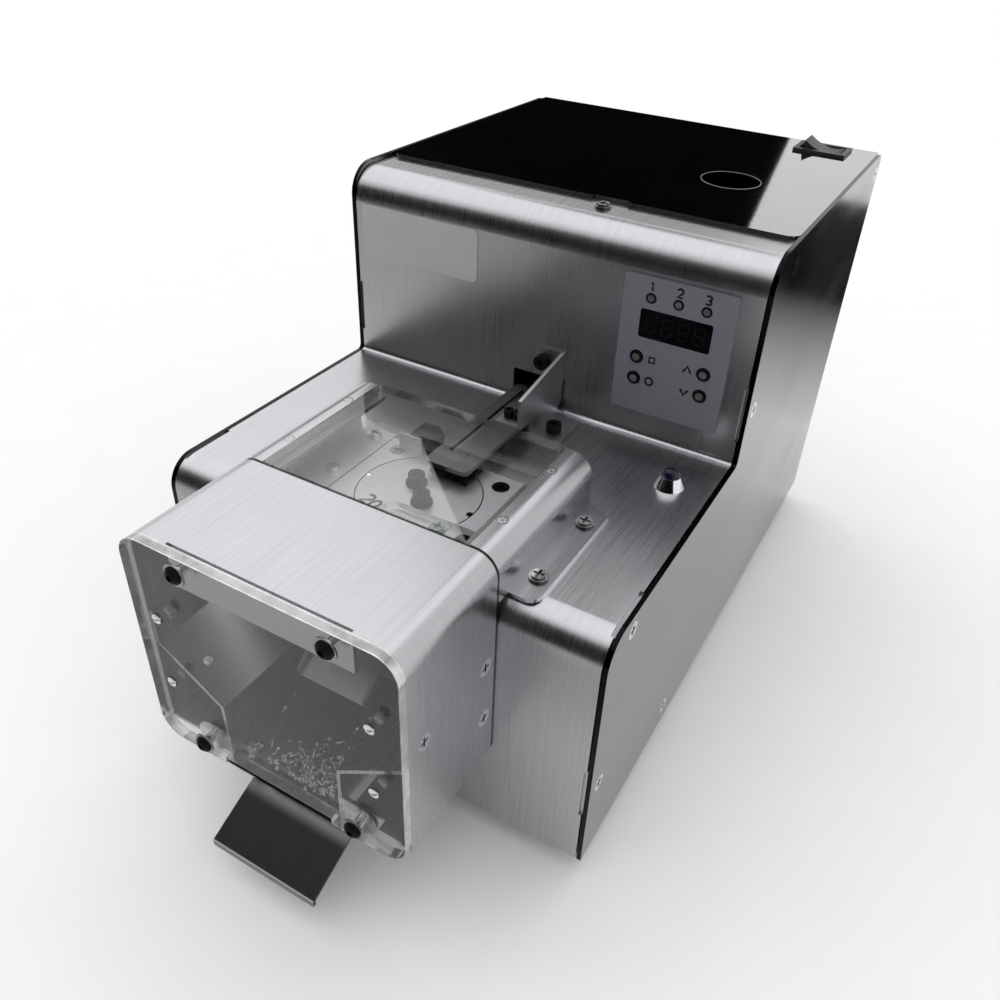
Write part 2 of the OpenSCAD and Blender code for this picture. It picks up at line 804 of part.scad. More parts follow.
// Inverted U section of the box and the disc cover, moved inwards by i
module box_section(i, low) {
  both_sides() translate([0, low]) square([box_half - i, box_top - low - box_bend_r]);
  both_sides() translate([0, low]) square([box_half - box_bend_r, box_top - i - low]);
  both_sides() translate([box_half - box_bend_r, box_top - box_bend_r]) circle(box_bend_r - i);
}
module collector_box() {
  color("lightgray") placed() difference() {
    union() {
      along_y([-box_reach, 0]) difference() {
        box_section(0, box_low);
        box_section(sheet_t, box_low - 1);
      }
      block([-box_lip_half, box_lip_half], [-box_reach, -box_reach + sheet_t], [box_top - box_lip,
        box_top - sheet_t + 0.2]);
      both_sides() block([box_half - 10, box_half - sheet_t + 0.2], [-sheet_t, 0], [box_low + 5,
        box_top - 12]);
      both_sides() block([box_floor_x, box_half - sheet_t + 0.2], [box_floor_front, box_floor_rear],
        [box_low, box_low + sheet_t]);
      both_sides() block([box_floor_ear, box_half - sheet_t + 0.2], [-box_reach, box_floor_front + 0.1],
        [box_low, box_low + sheet_t]);
    }
    block([-box_lip_half, box_lip_half], [-box_reach - eps, -box_reach + 0.9], [box_top - 1,
      box_top + eps]);
    both_sides() for (p = box_screws) to_right(box_half, p) csk_hole(sheet_t, sheet_t + eps);
    both_sides() to_front(-box_reach + 3, [window_screw_top_x, window_top_screw_z])
      rod_z([0, 4], screw_hole);
  }
}
module window_places() {
  for (s = [-1, 1]) {
    to_front(window_y, [s * window_screw_top_x, window_top_screw_z]) children();
    to_front(window_y, [s * window_screw_low_x, window_low_screw_z]) children();
  }
}
module collector_window() {
  color("lightcyan", 0.4) placed() difference() {
    along_y([window_y, -box_reach - window_seat]) difference() {
      rounded([-box_half, window_low], [box_half, box_top], box_bend_r);
      translate([-notch_half, window_low - eps]) square([2 * notch_half, window_notch + eps]);
    }
    window_places() rod_z([-window_t - eps, eps], screw_hole);
  }
}
module window_screws() {
  color("black") placed() window_places() translate([0, 0, washer_t])
    button_screw(socket_r, button_head_h, window_t + washer_t + 3);
}
module window_washers() {
  color("silver") placed() window_places() difference() {
    rod_z([0, washer_t], washer_r);
    rod_z([-eps, washer_t + eps], screw_hole);
  }
}

// A guide slopes from the wall to the gate and has an ear for a window screw
module guide() {
  placed() difference() {
    union() {
      along_y([-box_reach + 0.1, -sheet_t - 0.2])
        folded([[guide_wall_x, guide_up_z + guide_flange], [guide_wall_x, guide_up_z],
        [guide_x + 0.5, guide_down_z], [guide_x, guide_end_z]], sheet_t);
      along_y([-box_reach, -box_reach + sheet_t]) {
        translate([window_screw_low_x, window_low_screw_z]) circle(ear_r);
        translate([guide_x + 0.2, guide_end_z + 1])
          square([window_screw_low_x - guide_x, window_low_screw_z + ear_r - guide_end_z - 1]);
      }
    }
    to_front(-box_reach + 3, [window_screw_low_x, window_low_screw_z]) rod_z([0, 4], screw_hole);
    translate([0, pin_y, pin_z]) rod_x([0, box_half], pin_r + pin_gap);
    for (p = [box_screws[0], box_screws[1]]) to_right(box_half, p) rod_z([-10, 0], screw_hole);
  }
}
module left_guide() {
  color("darkgray") mirror([1, 0, 0]) guide();
}
module right_guide() {
  color("darkgray") guide();
}

module discharge_gate() {
  lip = [-lip_reach, spout_z(-lip_reach)];
  color("dimgray") placed() difference() {
    union() {
      along_x([-gate_half, gate_half]) {
        folded([[gate_front, gate_z(gate_front)], [gate_rear, gate_z(gate_rear)]], -sheet_t);
        folded([lip - [0, lip_h], lip, [spout_rear, spout_z(spout_rear)]], -sheet_t);
      }
      both_sides() along_x([gate_half - sheet_t, gate_half])
        polygon([[gate_ear_front, gate_z(gate_ear_front) - sheet_t / 2],
        [gate_rear - 0.5, gate_z(gate_rear - 0.5) - sheet_t / 2], [gate_rear - 0.5, gate_ear_low],
        [spout_rear, spout_z(spout_rear) - sheet_t / 2], [gate_ear_front, spout_z(gate_ear_front)
          - sheet_t / 2]]);
    }
    translate([0, pin_y, pin_z]) rod_x([-box_half, box_half], pin_r + pin_gap);
  }
}
module gate_pin() {
  color("silver") placed() translate([0, pin_y, pin_z])
    rod_x([-guide_x - 2 * sheet_t, guide_x + 2 * sheet_t], pin_r);
}

module drop_slide() {
  way = slide_end - slide_top;
  slide_face_z = slide_top[1] + way[1] / way[0] * (sheet_t - slide_top[0]);
  color("darkgray") placed() {
    along_x([-slide_half, slide_half]) folded([slide_top, slide_end], sheet_t);
    both_sides() along_x([slide_half - sheet_t, slide_half])
      polygon([slide_top, slide_end, slide_end + [0, 2], slide_top + [0, slide_wall]]);
    both_sides() block([slide_half - sheet_t, mech_half + slide_ear], [sheet_t, 2 * sheet_t],
      [slide_face_z - slide_ear_drop, slide_face_z + slide_ear_rise]);
  }
}

// The cover's foot: round at its outer front corner, cut back at the rear
module foot_flange_outline() {
  out = box_half + foot_flange;
  polygon([[box_half - 0.2, foot_flange_y0], [out - foot_corner, foot_flange_y0],
    [out, foot_flange_y0 + foot_corner], [out, cover_len - foot_rear_out],
    [box_half - 0.2, cover_len - foot_rear_in]]);
  translate([out - foot_corner, foot_flange_y0 + foot_corner]) circle(foot_corner);
}
module disc_cover() {
  color("lightgray") placed() both_sides() difference() {
    union() {
      along_y([lid_gap, cover_len]) difference() {
        box_section(0, deck_h);
        box_section(sheet_t, deck_h - 1);
        translate([-box_w, deck_h - 1]) square([box_w + lid_half, box_w]);
      }
      along_z([deck_h, deck_h + sheet_t]) foot_flange_outline();
    }
    for (y = flange_screws) to_top(deck_h, [flange_screw_x, y]) rod_z([-eps, sheet_t + eps], screw_hole);
  }
}
module lid_ledges() {
  color("silver") placed() both_sides() {
    block([lid_half, ledge_out], [2, cover_len - 1], [lid_z - ledge_t, box_top - sheet_t]);
    block([lid_half - ledge_in, lid_half + 0.1], [2, cover_len - 1], [lid_z - ledge_t, lid_z]);
  }
}
module disc_lid() {
  color("lightcyan", 0.4) placed() along_z([lid_z + lid_seat, box_top + lid_seat])
    rounded([-lid_half + lid_gap, lid_gap], [lid_half - lid_gap, cover_len + 1], 1);
}

module disc_plate() {
  color("silver") placed() difference() {
    block([plate_left, plate_right], [plate_front, plate_rear], [deck_h, rail_z]);
    to_top(deck_h, [0, disc_y]) rod_z([-eps, plate_t + eps], disc_r + disc_gap);
    to_top(deck_h, [0, drop_y]) rod_z([-eps, plate_t + eps], drop_r);
    block([-rail_half - rail_gap, rail_half + rail_gap], [rail_front - 1, plate_rear + eps],
      [deck_h - eps, rail_z + eps]);
    for (s = [-1, 1]) to_top(rail_z, [s * csk_plate[0], csk_plate[1]]) csk_hole(1.4, plate_t + eps);
    for (p = guard_screws) to_top(deck_h, p) rod_z([-eps, plate_t + eps], screw_hole);
  }
}
module side_plate() {
  x1 = plate_left - side_plate_gap;
  color("silver") placed() difference() {
    along_z([deck_h, rail_z]) left_rounded([side_plate_left, plate_front + 3], [x1, side_plate_rear],
      side_plate_r);
    for (p = side_plate_screws) to_top(deck_h, p) rod_z([-eps, plate_t + eps], screw_hole);
  }
}
module disc_guard() {
  color("lightcyan", 0.4) placed() difference() {
    along_z([rail_z, rail_z + guard_gap + guard_t])
      left_rounded([guard_left, guard_y0], [guard_right, guard_y1], guard_r);
    to_top(rail_z, [0, disc_y]) rod_z([-eps, guard_gap], disc_r + 2 * disc_gap);
    for (p = guard_screws) to_top(rail_z, p) rod_z([-eps, guard_t + 1], screw_hole);
  }
}
module plate_screws() {
  top = rail_z + guard_gap + guard_t;
  color("dimgray") placed() {
    for (s = [-1, 1]) to_top(rail_z, [s * csk_plate[0], csk_plate[1]]) csk_screw(1.4, plate_t);
    for (p = side_plate_screws) to_top(rail_z, p) pan_screw(head_r - 0.4, head_h, plate_t);
    to_top(top, guard_screws[0]) pan_screw(head_r - 0.2, head_h, guard_t + guard_gap + plate_t);
    to_top(top, guard_screws[1]) button_screw(socket_r, button_head_h, guard_t + guard_gap + plate_t);
  }
}

module hold_down() {
  color("gray") placed() difference() {
    along_z([hold_z, hold_z + hold_t]) difference() {
      rounded([-hold_left, hold_y0], [hold_right, hold_y1], hold_r);
      translate([-slot_half, slit_y0]) square([slot_w, slit_y1 - slit_y0]);
    }
    for (p = hold_screws) to_top(hold_z, p) rod_z([-eps, hold_t + eps], screw_hole);
  }
}
module brush() {
  z = [rail_z + bristle_gap, hold_z];
  color("black") placed() {
    block([-hold_left + 2, hold_right - 0.5], [hold_y0 + 0.8, hold_y0 + 0.8 + bristle_w], z);
    block([hold_right - 0.5 - bristle_w, hold_right - 0.5], [hold_y0 + 0.8, hold_y0 + bristle_len], z);
  }
}
module arm_bracket() {
  x = [bracket_x, bracket_x + sheet_t];
  top = deck_h + bracket_h;
  color("silver") placed() difference() {
    union() {
      along_x(x) polygon([[bracket_y0, hold_z + hold_t], [bracket_y0, deck_h + bracket_front_h],
        [step_y - sheet_t, top],
        [step_y - sheet_t, deck_h + 3 + inner_bend_r], [step_y - 4 - inner_bend_r, deck_h],
        [bracket_foot_y[0], deck_h], [bracket_foot_y[0], hold_z + hold_t]]);
      block([wall_flange_left, bracket_x + sheet_t], [step_y - sheet_t, step_y],
        [deck_h + wall_hole_h + 1, top]);
      block([bracket_x, bracket_x + sheet_t + bracket_foot], [bracket_foot_y[0], bracket_foot_y[1]],
        [deck_h, deck_h + sheet_t]);
      block([slot_half + 1.5, bracket_x + 0.2], [bracket_y0, tab_y1], [hold_z + hold_t,
        hold_z + hold_t + sheet_t]);
    }
    to_front(step_y + eps, wall_screw) rod_z([0, sheet_t + 1], screw_hole);
    to_top(deck_h, foot_screw) rod_z([-eps, sheet_t + eps], screw_hole);
    for (p = hold_screws) to_top(hold_z, p) rod_z([0, hold_t + sheet_t + eps], screw_hole);
  }
}
module bracket_screws() {
  color("black") placed() {
    to_front(step_y - sheet_t, wall_screw) socket_screw(socket_r, socket_h, screw_len);
    to_top(deck_h + sheet_t, foot_screw) socket_screw(socket_r, socket_h, screw_len);
    for (p = hold_screws) to_top(hold_z + hold_t + sheet_t, p)
      socket_screw(socket_r - 1, socket_h, hold_t + sheet_t);
  }
}
module sensor_block() {
  y0 = plate_rear - 3.4;
  x1 = -rail_half - rail_gap - 0.2;
  color("black") placed() along_z([rail_z, rail_z + 6.2])
    polygon([[x1 - 10, y0 + 0.2], [x1 - 2.5, y0 + 0.2], [x1, y0 + 2.5], [x1, y0 + 6], [x1 - 4, y0 + 9.3],
      [x1 - 10, y0 + 9.3]]);
}
module sensor_bracket() {
  y0 = plate_rear - 3.4;
  color("silver") placed() {
    block([-20.5, -11.5], [y0 - 0.8, y0], [rail_z, rail_z + 6]);
    block([-20.5, -17.2], [y0 - 0.1, y0 + 3.2], [rail_z, rail_z + 0.8]);
  }
}

module rail() {
  color("silver") placed() difference() {
    union() {
      block([-rail_half, rail_half], [rail_front, rail_rear], [rail_low, rail_z]);
      block([-rail_foot_half, rail_foot_half], rail_foot_y, [rail_low - rail_foot_h, rail_low + 0.1]);
    }
    block([-slot_half, slot_half], [rail_front - eps, rail_rear + eps], [rail_z - slot_depth,
      rail_z + eps]);
    to_top(rail_low, [0, disc_y]) rod_z([-eps, rail_z - rail_low + eps], disc_r + rail_disc_gap);
    for (y = leaf_y) block([-rail_foot_half - eps, rail_foot_half + eps], [y - leaf_t / 2 - leaf_gap,
      y + leaf_t / 2 + leaf_gap],
      [rail_low - rail_foot_h - eps, rail_low - rail_foot_h + leaf_in + 0.5]);
  }
}
module leaf_springs() {
  color("steelblue") placed() for (y = leaf_y)
    block([-leaf_half, leaf_half], [y - leaf_t / 2, y + leaf_t / 2], [leaf_low,
      rail_low - rail_foot_h + leaf_in]);
}
module vibrator_base() {
  color("dimgray") placed() difference() {
    block([-vibrator_half, vibrator_half], [rail_foot_y[0] - 2, rail_foot_y[1] + 2], [floor_z,
      vibrator_top]);
    for (y = leaf_y) block([-leaf_half - 0.05, leaf_half + 0.05], [y - leaf_t / 2 - 0.02,
      y + leaf_t / 2 + 0.02], [leaf_low, vibrator_top + eps]);
  }
}
module vibrator_coil() {
  y = (coil_y[0] + coil_y[1]) / 2;
  color("peru") placed() {
    block([-coil_half, coil_half], coil_y, [vibrator_top, vibrator_top + 2]);
    translate([0, y, 0]) rod_z([vibrator_top + 1, coil_top], (coil_y[1] - coil_y[0]) / 2 - 1);
    block([-coil_half, coil_half], coil_y, [coil_top - 1, coil_top + 1]);
    block([-3, 3], [y - 3, y + 3], [coil_top, rail_low - rail_foot_h - 0.8]);
  }
}

module disc_screw_places() {
  for (a = [0, 180]) to_top(rail_z, [0, disc_y]) rotate(disc_screw_turn + a)
    translate([disc_screw_r, 0, 0]) children();
}
module index_disc() {
  color("gainsboro") placed() difference() {
    translate([0, disc_y, 0]) rod_z([disc_low, rail_z], disc_r);
    to_top(disc_low, [0, disc_y]) rotate(notch_turn) translate([disc_r - notch_r / 2, 0, 0])
      rod_z([-eps, disc_t + eps], notch_r);
    disc_screw_places() rod_z([-disc_t - eps, eps], screw_hole);
  }
}
module disc_hub() {
  color("silver") placed() difference() {
    translate([0, disc_y, 0]) {
      rod_z([hub_low, disc_low], hub_r);
      rod_z([shaft_low, hub_low + 0.1], shaft_r);
    }
    disc_screw_places() rod_z([-disc_t - hub_t - eps, -disc_t + eps], screw_hole);
  }
}
module disc_screws() {
  color("dimgray") placed() disc_screw_places() {
    rod_z([0, disc_washer_t], disc_washer_r);
    translate([0, 0, disc_washer_t - 0.1]) socket_screw(disc_head_r, socket_h, disc_t + 1.5);
  }
}
module index_motor() {
  h = motor_side / 2;
  color("black") placed() difference() {
    translate([0, disc_y, 0]) along_z([motor_low, motor_plate_z])
      polygon([for (q = [[1, 1], [-1, 1], [-1, -1], [1, -1]], k = [0, 1])
        let (cut = h - 3, turn = q[0] * q[1] > 0 ? k : 1 - k)
          [q[0] * (turn == 0 ? h : cut), q[1] * (turn == 0 ? cut : h)]]);
    translate([0, disc_y, 0]) rod_z([shaft_low - 1, motor_plate_z + eps], shaft_r + shaft_gap);
  }
}
module motor_bracket() {
  z = [motor_plate_z, motor_plate_z + bracket_t];
  color("silver") placed() difference() {
    union() {
      block([-motor_plate_half, motor_plate_half], [12, 45], z);
      block([-12, 12], [drop_y - 5, 12.1], z);
      both_sides() for (y = standoff_y) translate([standoff_x, y, 0])
        rod_z([z[1] - 0.1, deck_under], standoff_r);
    }
    translate([0, disc_y, 0]) rod_z([z[0] - eps, z[1] + eps], hub_r + 1.5);
    translate([0, drop_y, 0]) rod_z([z[0] - eps, z[1] + eps], drop_r + 1.4);
  }
}
module count_sensor() {
  color("black") placed() difference() {
    union() {
      block([-9, 9], [drop_y - 5, drop_y + 5.5], [motor_plate_z - 12, motor_plate_z]);
      translate([0, drop_y, 0]) rod_z([motor_plate_z - 1, deck_h - 0.4], drop_r + 1.2);
    }
    translate([0, drop_y, 0]) rod_z([motor_plate_z - 13, deck_h + eps], drop_r);
    translate([0, disc_y, 0]) rod_z([disc_low - 1, deck_h + eps], disc_r + 2 * disc_gap);
  }
}

// Half-round trough section, r from the wheel's axis
module trough(r, top) {
  difference() {
    translate([0, wheel_z]) circle(r);
    translate([-r - 1, wheel_z]) square([2 * r + 2, r + 1]);
  }
  translate([-r, wheel_z]) square([2 * r, top - wheel_z]);
}
module storage_bin() {
  color("silver") placed() difference() {
    union() {
      along_y([bin_y0 - 0.1, bin_y1]) difference() {
        trough(bin_r + sheet_t, bin_top);
        trough(bin_r, bin_top + 1);
      }
      block([-bin_r - sheet_t, bin_r + sheet_t], [bin_y0 - sheet_t, bin_y0], [floor_z, bin_top]);
    }
    block([-rail_half - rail_gap, rail_half + rail_gap], [bin_y0 - 3, bin_y0 + 1], [rail_low - 1,
      rail_z + head_room]);
  }
}
module lift_wheel() {
  color("gainsboro") placed() translate([0, 0, wheel_z]) difference() {
    union() {
      rod_y([wheel_front, wheel_front + wheel_t], wheel_r);
      rod_y([wheel_front, wheel_front + wheel_t + wheel_hub_t], wheel_hub_r);
      for (i = [0:scoops - 1]) rotate([0, 360 / scoops * (i + 0.5), 0]) {
        block([scoop_in, wheel_r - 1], [wheel_front - scoop_depth, wheel_front + 0.1], [0, scoop_t]);
        block([scoop_in, scoop_in + scoop_t], [wheel_front - scoop_depth, wheel_front + 0.1], [0,
          scoop_lip]);
      }
    }
    rod_y([wheel_front - 1, wheel_front + wheel_t + wheel_hub_t + 1], wheel_shaft_r);
  }
}
module wheel_shaft() {
  color("silver") placed() translate([0, 0, wheel_z])
    rod_y([wheel_front - 0.5, bin_y1 + wheel_plate_t + wheel_shaft_in], wheel_shaft_r);
}
module wheel_plate() {
  color("silver") placed() difference() {
    block([-wheel_plate_half, wheel_plate_half], [bin_y1, bin_y1 + wheel_plate_t], [floor_z, bin_top + 2]);
    translate([0, 0, wheel_z]) rod_y([bin_y1 - 1, bin_y1 + wheel_plate_t + 1], wheel_shaft_r + 1);
  }
}
module lift_motor() {
  y0 = bin_y1 + wheel_plate_t;
  color("dimgray") placed() translate([0, 0, wheel_z]) difference() {
    union() {
      rod_y([y0, y0 + gearbox_len], gearbox_r);
      rod_y([y0 + gearbox_len - 0.1, y0 + gearbox_len + lift_motor_len], lift_motor_r);
    }
    rod_y([y0 - 1, y0 + wheel_shaft_in + 1], wheel_shaft_r + shaft_gap);
  }
}

module control_plate() {
  color("lavender") placed() difference() {
    along_y([control_front, step_y])
      rounded([control_x0, control_z0], [control_x1, control_z1], control_corner);
    for (i = [-1:1]) to_front(step_y + eps, [control_x + i * led_pitch, led_z])
      rod_z([0, control_t + 1], led_r + hole_gap);
    along_y([control_front - eps, step_y + eps]) display_outline(0.1);
    for (s = [-1, 1], z = button_z) to_front(step_y + eps, [control_x + s * button_x, z])
      rod_z([0, control_t + 1], button_r + button_gap);
  }
}
// The display's outline, or the opening round it
module display_outline(gap) {
  half = [display_half + gap, display_h / 2 + gap];
  rounded([control_x, display_z] - half, [control_x, display_z] + half, display_corner + gap);
}
module display_window() {
  color("black") placed() along_y([control_front, board_y]) display_outline(0);
}
module status_leds() {
  color("dimgray") placed() for (i = [-1:1]) to_front(board_y, [control_x + i * led_pitch, led_z])
    rod_z([0, board_gap + sheet_t + control_t + 0.2], led_r);
}
module push_button(s, z) {
  color("gray") placed() to_front(wall_back + 0.3, [control_x + s * button_x, z]) {
    rod_z([0, 0.3 + sheet_t + control_t + button_proud], button_r);
    rod_z([-button_flange, 0], button_r + button_gap + 0.4);
    rod_z([-button_flange - 0.8, 0], button_r - 0.6);
  }
}
module set_button() {
  push_button(-1, button_z[0]);
}
module ok_button() {
  push_button(-1, button_z[1]);
}
module up_button() {
  push_button(1, button_z[0]);
}
module down_button() {
  push_button(1, button_z[1]);
}
module display_board() {
  switch_top = wall_back + 0.3 + button_flange + 0.8 + button_travel + 0.1;
  color("seagreen") placed() {
    block([control_x0 + board_edge, control_x1 - board_edge], [board_y, board_y + board_t],
      [control_z0 + board_edge, control_z1 - board_edge]);
    for (x = [control_x0 + board_edge + spacer_r, control_x1 - board_edge - spacer_r],
      z = [control_z0 + board_edge + spacer_r, control_z1 - board_edge - spacer_r])
      translate([x, 0, z]) rod_y([wall_back, board_y + 0.1], spacer_r);
    for (s = [-1, 1], z = button_z)
      block([control_x + s * button_x - 3, control_x + s * button_x + 3], [switch_top, board_y + 0.1],
        [z - 3, z + 3]);
  }
}

module rocker_bezel() {
  a = [switch_l / 2, switch_w / 2];
  b = a - [switch_body_gap, switch_body_gap];
  color("black") placed() translate([switch_x, switch_y, 0]) difference() {
    union() {
      block([-a[0], a[0]], [-a[1], a[1]], [body_h, body_h + switch_frame_h]);
      block([-b[0], b[0]], [-b[1], b[1]], [body_h - switch_body_h, body_h + 0.1]);
    }
    block([-paddle_r - 1.1, paddle_r + 1.1], [-paddle_w / 2 - paddle_gap, paddle_w / 2 + paddle_gap],
      [switch_pivot_z, body_h + switch_frame_h + eps]);
    translate([0, 0, switch_pivot_z])
      rod_y([-paddle_w / 2 - paddle_gap, paddle_w / 2 + paddle_gap], paddle_r + paddle_gap);
    translate([0, 0, switch_pivot_z])
      rod_y([-paddle_w / 2 - 1.1, paddle_w / 2 + 1.1], paddle_pin_r + shaft_gap);
  }
}
module rocker() {
  dish = 16.4;
  color("black") placed() translate([switch_x, switch_y, switch_pivot_z]) rotate([0, switch_tilt, 0]) {
    along_y([-paddle_w / 2, paddle_w / 2]) difference() {
      union() {
        circle(paddle_r);
        translate([-paddle_r, 0]) square([2 * paddle_r, paddle_h]);
      }
      translate([0, paddle_h - 2.2 + dish]) circle(dish);
    }
    rod_y([-paddle_w / 2 - 1, paddle_w / 2 + 1], paddle_pin_r);
  }
}
module led_bezel() {
  color("whitesmoke") placed() translate([lamp_x, lamp_y, deck_h]) difference() {
    union() {
      cylinder(h = lamp_h, r1 = lamp_r, r2 = lamp_bore + 0.8);
      rod_z([-10, 0.1], lamp_shank);
      translate([0, 0, -sheet_t - 2.4]) cylinder(h = 2.4, r = lamp_r, $fn = 6);
    }
    rod_z([-11, lamp_h + eps], lamp_bore);
  }
}
module led_lens() {
  color("indigo") placed() translate([lamp_x, lamp_y, deck_h]) {
    rod_z([-6, lamp_h], lens_r);
    translate([0, 0, lamp_h]) intersection() {
      sphere(r = lens_r);
      rod_z([-1, lens_r], lens_r);
    }
  }
}
module power_inlet() {
  color("black") placed() difference() {
    union() {
      block([inlet_x - inlet_half, inlet_x + inlet_half], [back_in - inlet_depth, back_in],
        [inlet_z - inlet_half, inlet_z + inlet_half]);
      to_front(body_d, [inlet_x, inlet_z]) rod_z([0, panel_t + 0.1], inlet_r);
    }
    difference() {
      to_front(body_d + eps, [inlet_x, inlet_z]) rod_z([0, plug_depth], plug_r);
      to_front(body_d - 2, [inlet_x, inlet_z]) rod_z([0, plug_depth + 2], contact_r);
    }
  }
}
module control_board() {
  z = floor_z + main_board_lift;
  x = main_board_x;
  e = main_board_edge;
  y = [bin_y0 + e, bin_y1 - e];
  color("seagreen") placed() {
    block(x, y, [z, z + board_t]);
    for (u = [x[0] + e, x[1] - e], v = [y[0] + e, y[1] - e]) translate([u, v, 0])
      rod_z([floor_z, z + 0.1], main_board_spacer);
    for (k = board_blocks) translate([x[0] + k[0][0], y[0] + k[0][1], z + board_t - 0.1]) cube(k[1]);
  }
}

base_plate();
feet();
side_panel_left();
side_panel_right();
body_wrap();
back_panel();
top_cover();
countersunk_screws();
pan_screws();
collector_box();
collector_window();
window_screws();
window_washers();
left_guide();
right_guide();
discharge_gate();
gate_pin();
drop_slide();
disc_cover();
lid_ledges();
disc_lid();
disc_plate();
side_plate();
disc_guard();
plate_screws();
hold_down();
brush();
arm_bracket();
bracket_screws();
sensor_block();
sensor_bracket();
rail();
leaf_springs();
vibrator_base();
vibrator_coil();
index_disc();
disc_hub();
disc_screws();
index_motor();
motor_bracket();
count_sensor();
storage_bin();
lift_wheel();
wheel_shaft();
wheel_plate();
lift_motor();
control_plate();
display_window();
status_leds();
set_button();
ok_button();
up_button();
down_button();
display_board();
rocker_bezel();
rocker();
led_bezel();
led_lens();
power_inlet();
control_board();
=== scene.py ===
"""Screw counting machine: finishes, small fittings, goods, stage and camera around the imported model.

Lengths are millimetres in the row frame (X right, Y back, Z up, floor at 0) until a mesh is made.
New pieces are surfaces on a grid of two parameters, or a profile carried along a path, worked out as
whole arrays.
"""

import json
import math

import bmesh
import bpy
import numpy as np
from mathutils import Matrix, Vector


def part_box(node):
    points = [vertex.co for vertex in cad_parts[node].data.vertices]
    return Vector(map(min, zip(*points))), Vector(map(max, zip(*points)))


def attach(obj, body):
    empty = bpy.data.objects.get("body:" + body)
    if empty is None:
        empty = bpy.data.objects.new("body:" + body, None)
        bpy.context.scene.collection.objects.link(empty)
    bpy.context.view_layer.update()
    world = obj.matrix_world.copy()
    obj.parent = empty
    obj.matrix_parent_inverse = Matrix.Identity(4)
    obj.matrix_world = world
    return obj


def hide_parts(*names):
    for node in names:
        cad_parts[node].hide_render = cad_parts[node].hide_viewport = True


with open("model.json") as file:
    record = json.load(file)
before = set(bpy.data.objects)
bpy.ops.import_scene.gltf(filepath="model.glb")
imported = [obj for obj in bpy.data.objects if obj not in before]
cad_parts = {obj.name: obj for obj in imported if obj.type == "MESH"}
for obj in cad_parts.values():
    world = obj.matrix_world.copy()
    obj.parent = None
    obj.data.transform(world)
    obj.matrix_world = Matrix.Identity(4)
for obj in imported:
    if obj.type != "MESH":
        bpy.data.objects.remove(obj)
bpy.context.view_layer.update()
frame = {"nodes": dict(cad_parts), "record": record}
NODES = frame["nodes"]
FINISH = {}
MM = 0.001
SEED = 20
RNG = np.random.default_rng(SEED)
BACK, UP = (0, 1, 0), (0, 0, 1)


def node_box(node):
    """A node's lowest and highest corners in millimetres."""
    low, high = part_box(node)
    return np.array(low) / MM, np.array(high) / MM


# Node helpers for the finishes

# Most of a soft noise lies between the first two values, and most of a mix of two noises between the others
NOISE_LOW, NOISE_HIGH = 0.3, 0.7
MIX_LOW, MIX_HIGH = 0.32, 0.68
# A face starts to look along an axis at the first share of its normal, and does so fully at the second
LEAN_LOW, LEAN_HIGH = 0.5, 0.8
# Half of a soft border's width: in millimetres on an axis, and as a share of a radius
SOFT, SOFT_SHARE = 0.1, 0.03
# How far apart the wave texture's rings lie at a scale of 1, and how far they stray
RING_APART, RING_STRAY = 0.314, 2.0


def begin(name, colour, metal, rough, **sockets):
    """A new material with one Principled shader, kept in FINISH; constants go straight onto its sockets."""
    mat = bpy.data.materials.new(name)
    mat.use_nodes = True
    FINISH[name] = mat
    shader = mat.node_tree.nodes["Principled BSDF"]
    shader.inputs["Base Color"].default_value = (*colour, 1)
    shader.inputs["Metallic"].default_value = metal
    shader.inputs["Roughness"].default_value = rough
    for key, value in sockets.items():
        shader.inputs[key.replace("_", " ")].default_value = value
    return mat.node_tree, shader


def feed(tree, socket, value):
    """Give a socket a constant or another node's output."""
    if isinstance(value, (int, float)):
        socket.default_value = value
    else:
        tree.links.new(value, socket)


def reckon(tree, operation, *values):
    """One step of arithmetic on constants and outputs."""
    node = tree.nodes.new("ShaderNodeMath")
    node.operation = operation
    for socket, value in zip(node.inputs, values):
        feed(tree, socket, value)
    return node.outputs[0]


def place(tree, scale, centre=(0, 0, 0)):
    """Object coordinates moved to a centre and scaled per axis, in counts per metre."""
    coord = tree.nodes.new("ShaderNodeTexCoord")
    move = tree.nodes.new("ShaderNodeMapping")
    move.vector_type = "POINT"
    move.inputs["Location"].default_value = [-c * MM * s for c, s in zip(centre, scale)]
    move.inputs["Scale"].default_value = scale
    tree.links.new(coord.outputs["Object"], move.inputs["Vector"])
    return move.outputs["Vector"]


def coordinate(tree, kind, axis):
    """One axis of the Object coordinates or of the surface's Normal."""
    coord = tree.nodes.new("ShaderNodeTexCoord")
    parts = tree.nodes.new("ShaderNodeSeparateXYZ")
    tree.links.new(coord.outputs[kind], parts.inputs["Vector"])
    return parts.outputs[axis]


def noise(tree, scale, detail):
    """Soft noise; a large scale on one axis and small ones on the others draws lines."""
    tex = tree.nodes.new("ShaderNodeTexNoise")
    tex.inputs["Scale"].default_value = 1
    tex.inputs["Detail"].default_value = detail
    tree.links.new(place(tree, scale), tex.inputs["Vector"])
    return tex.outputs["Fac"]


def rings(tree, centre, pitch):
    """Rings round an upright axis through a centre, as a lathe leaves them."""
    wave = tree.nodes.new("ShaderNodeTexWave")
    wave.wave_type = "RINGS"
    wave.rings_direction = "Z"
    wave.inputs["Scale"].default_value = 1
    wave.inputs["Distortion"].default_value = RING_STRAY
    wave.inputs["Detail"].default_value = 2
    per_metre = RING_APART / (pitch * MM)
    tree.links.new(place(tree, (per_metre,) * 3, centre), wave.inputs["Vector"])
    return wave.outputs["Fac"]


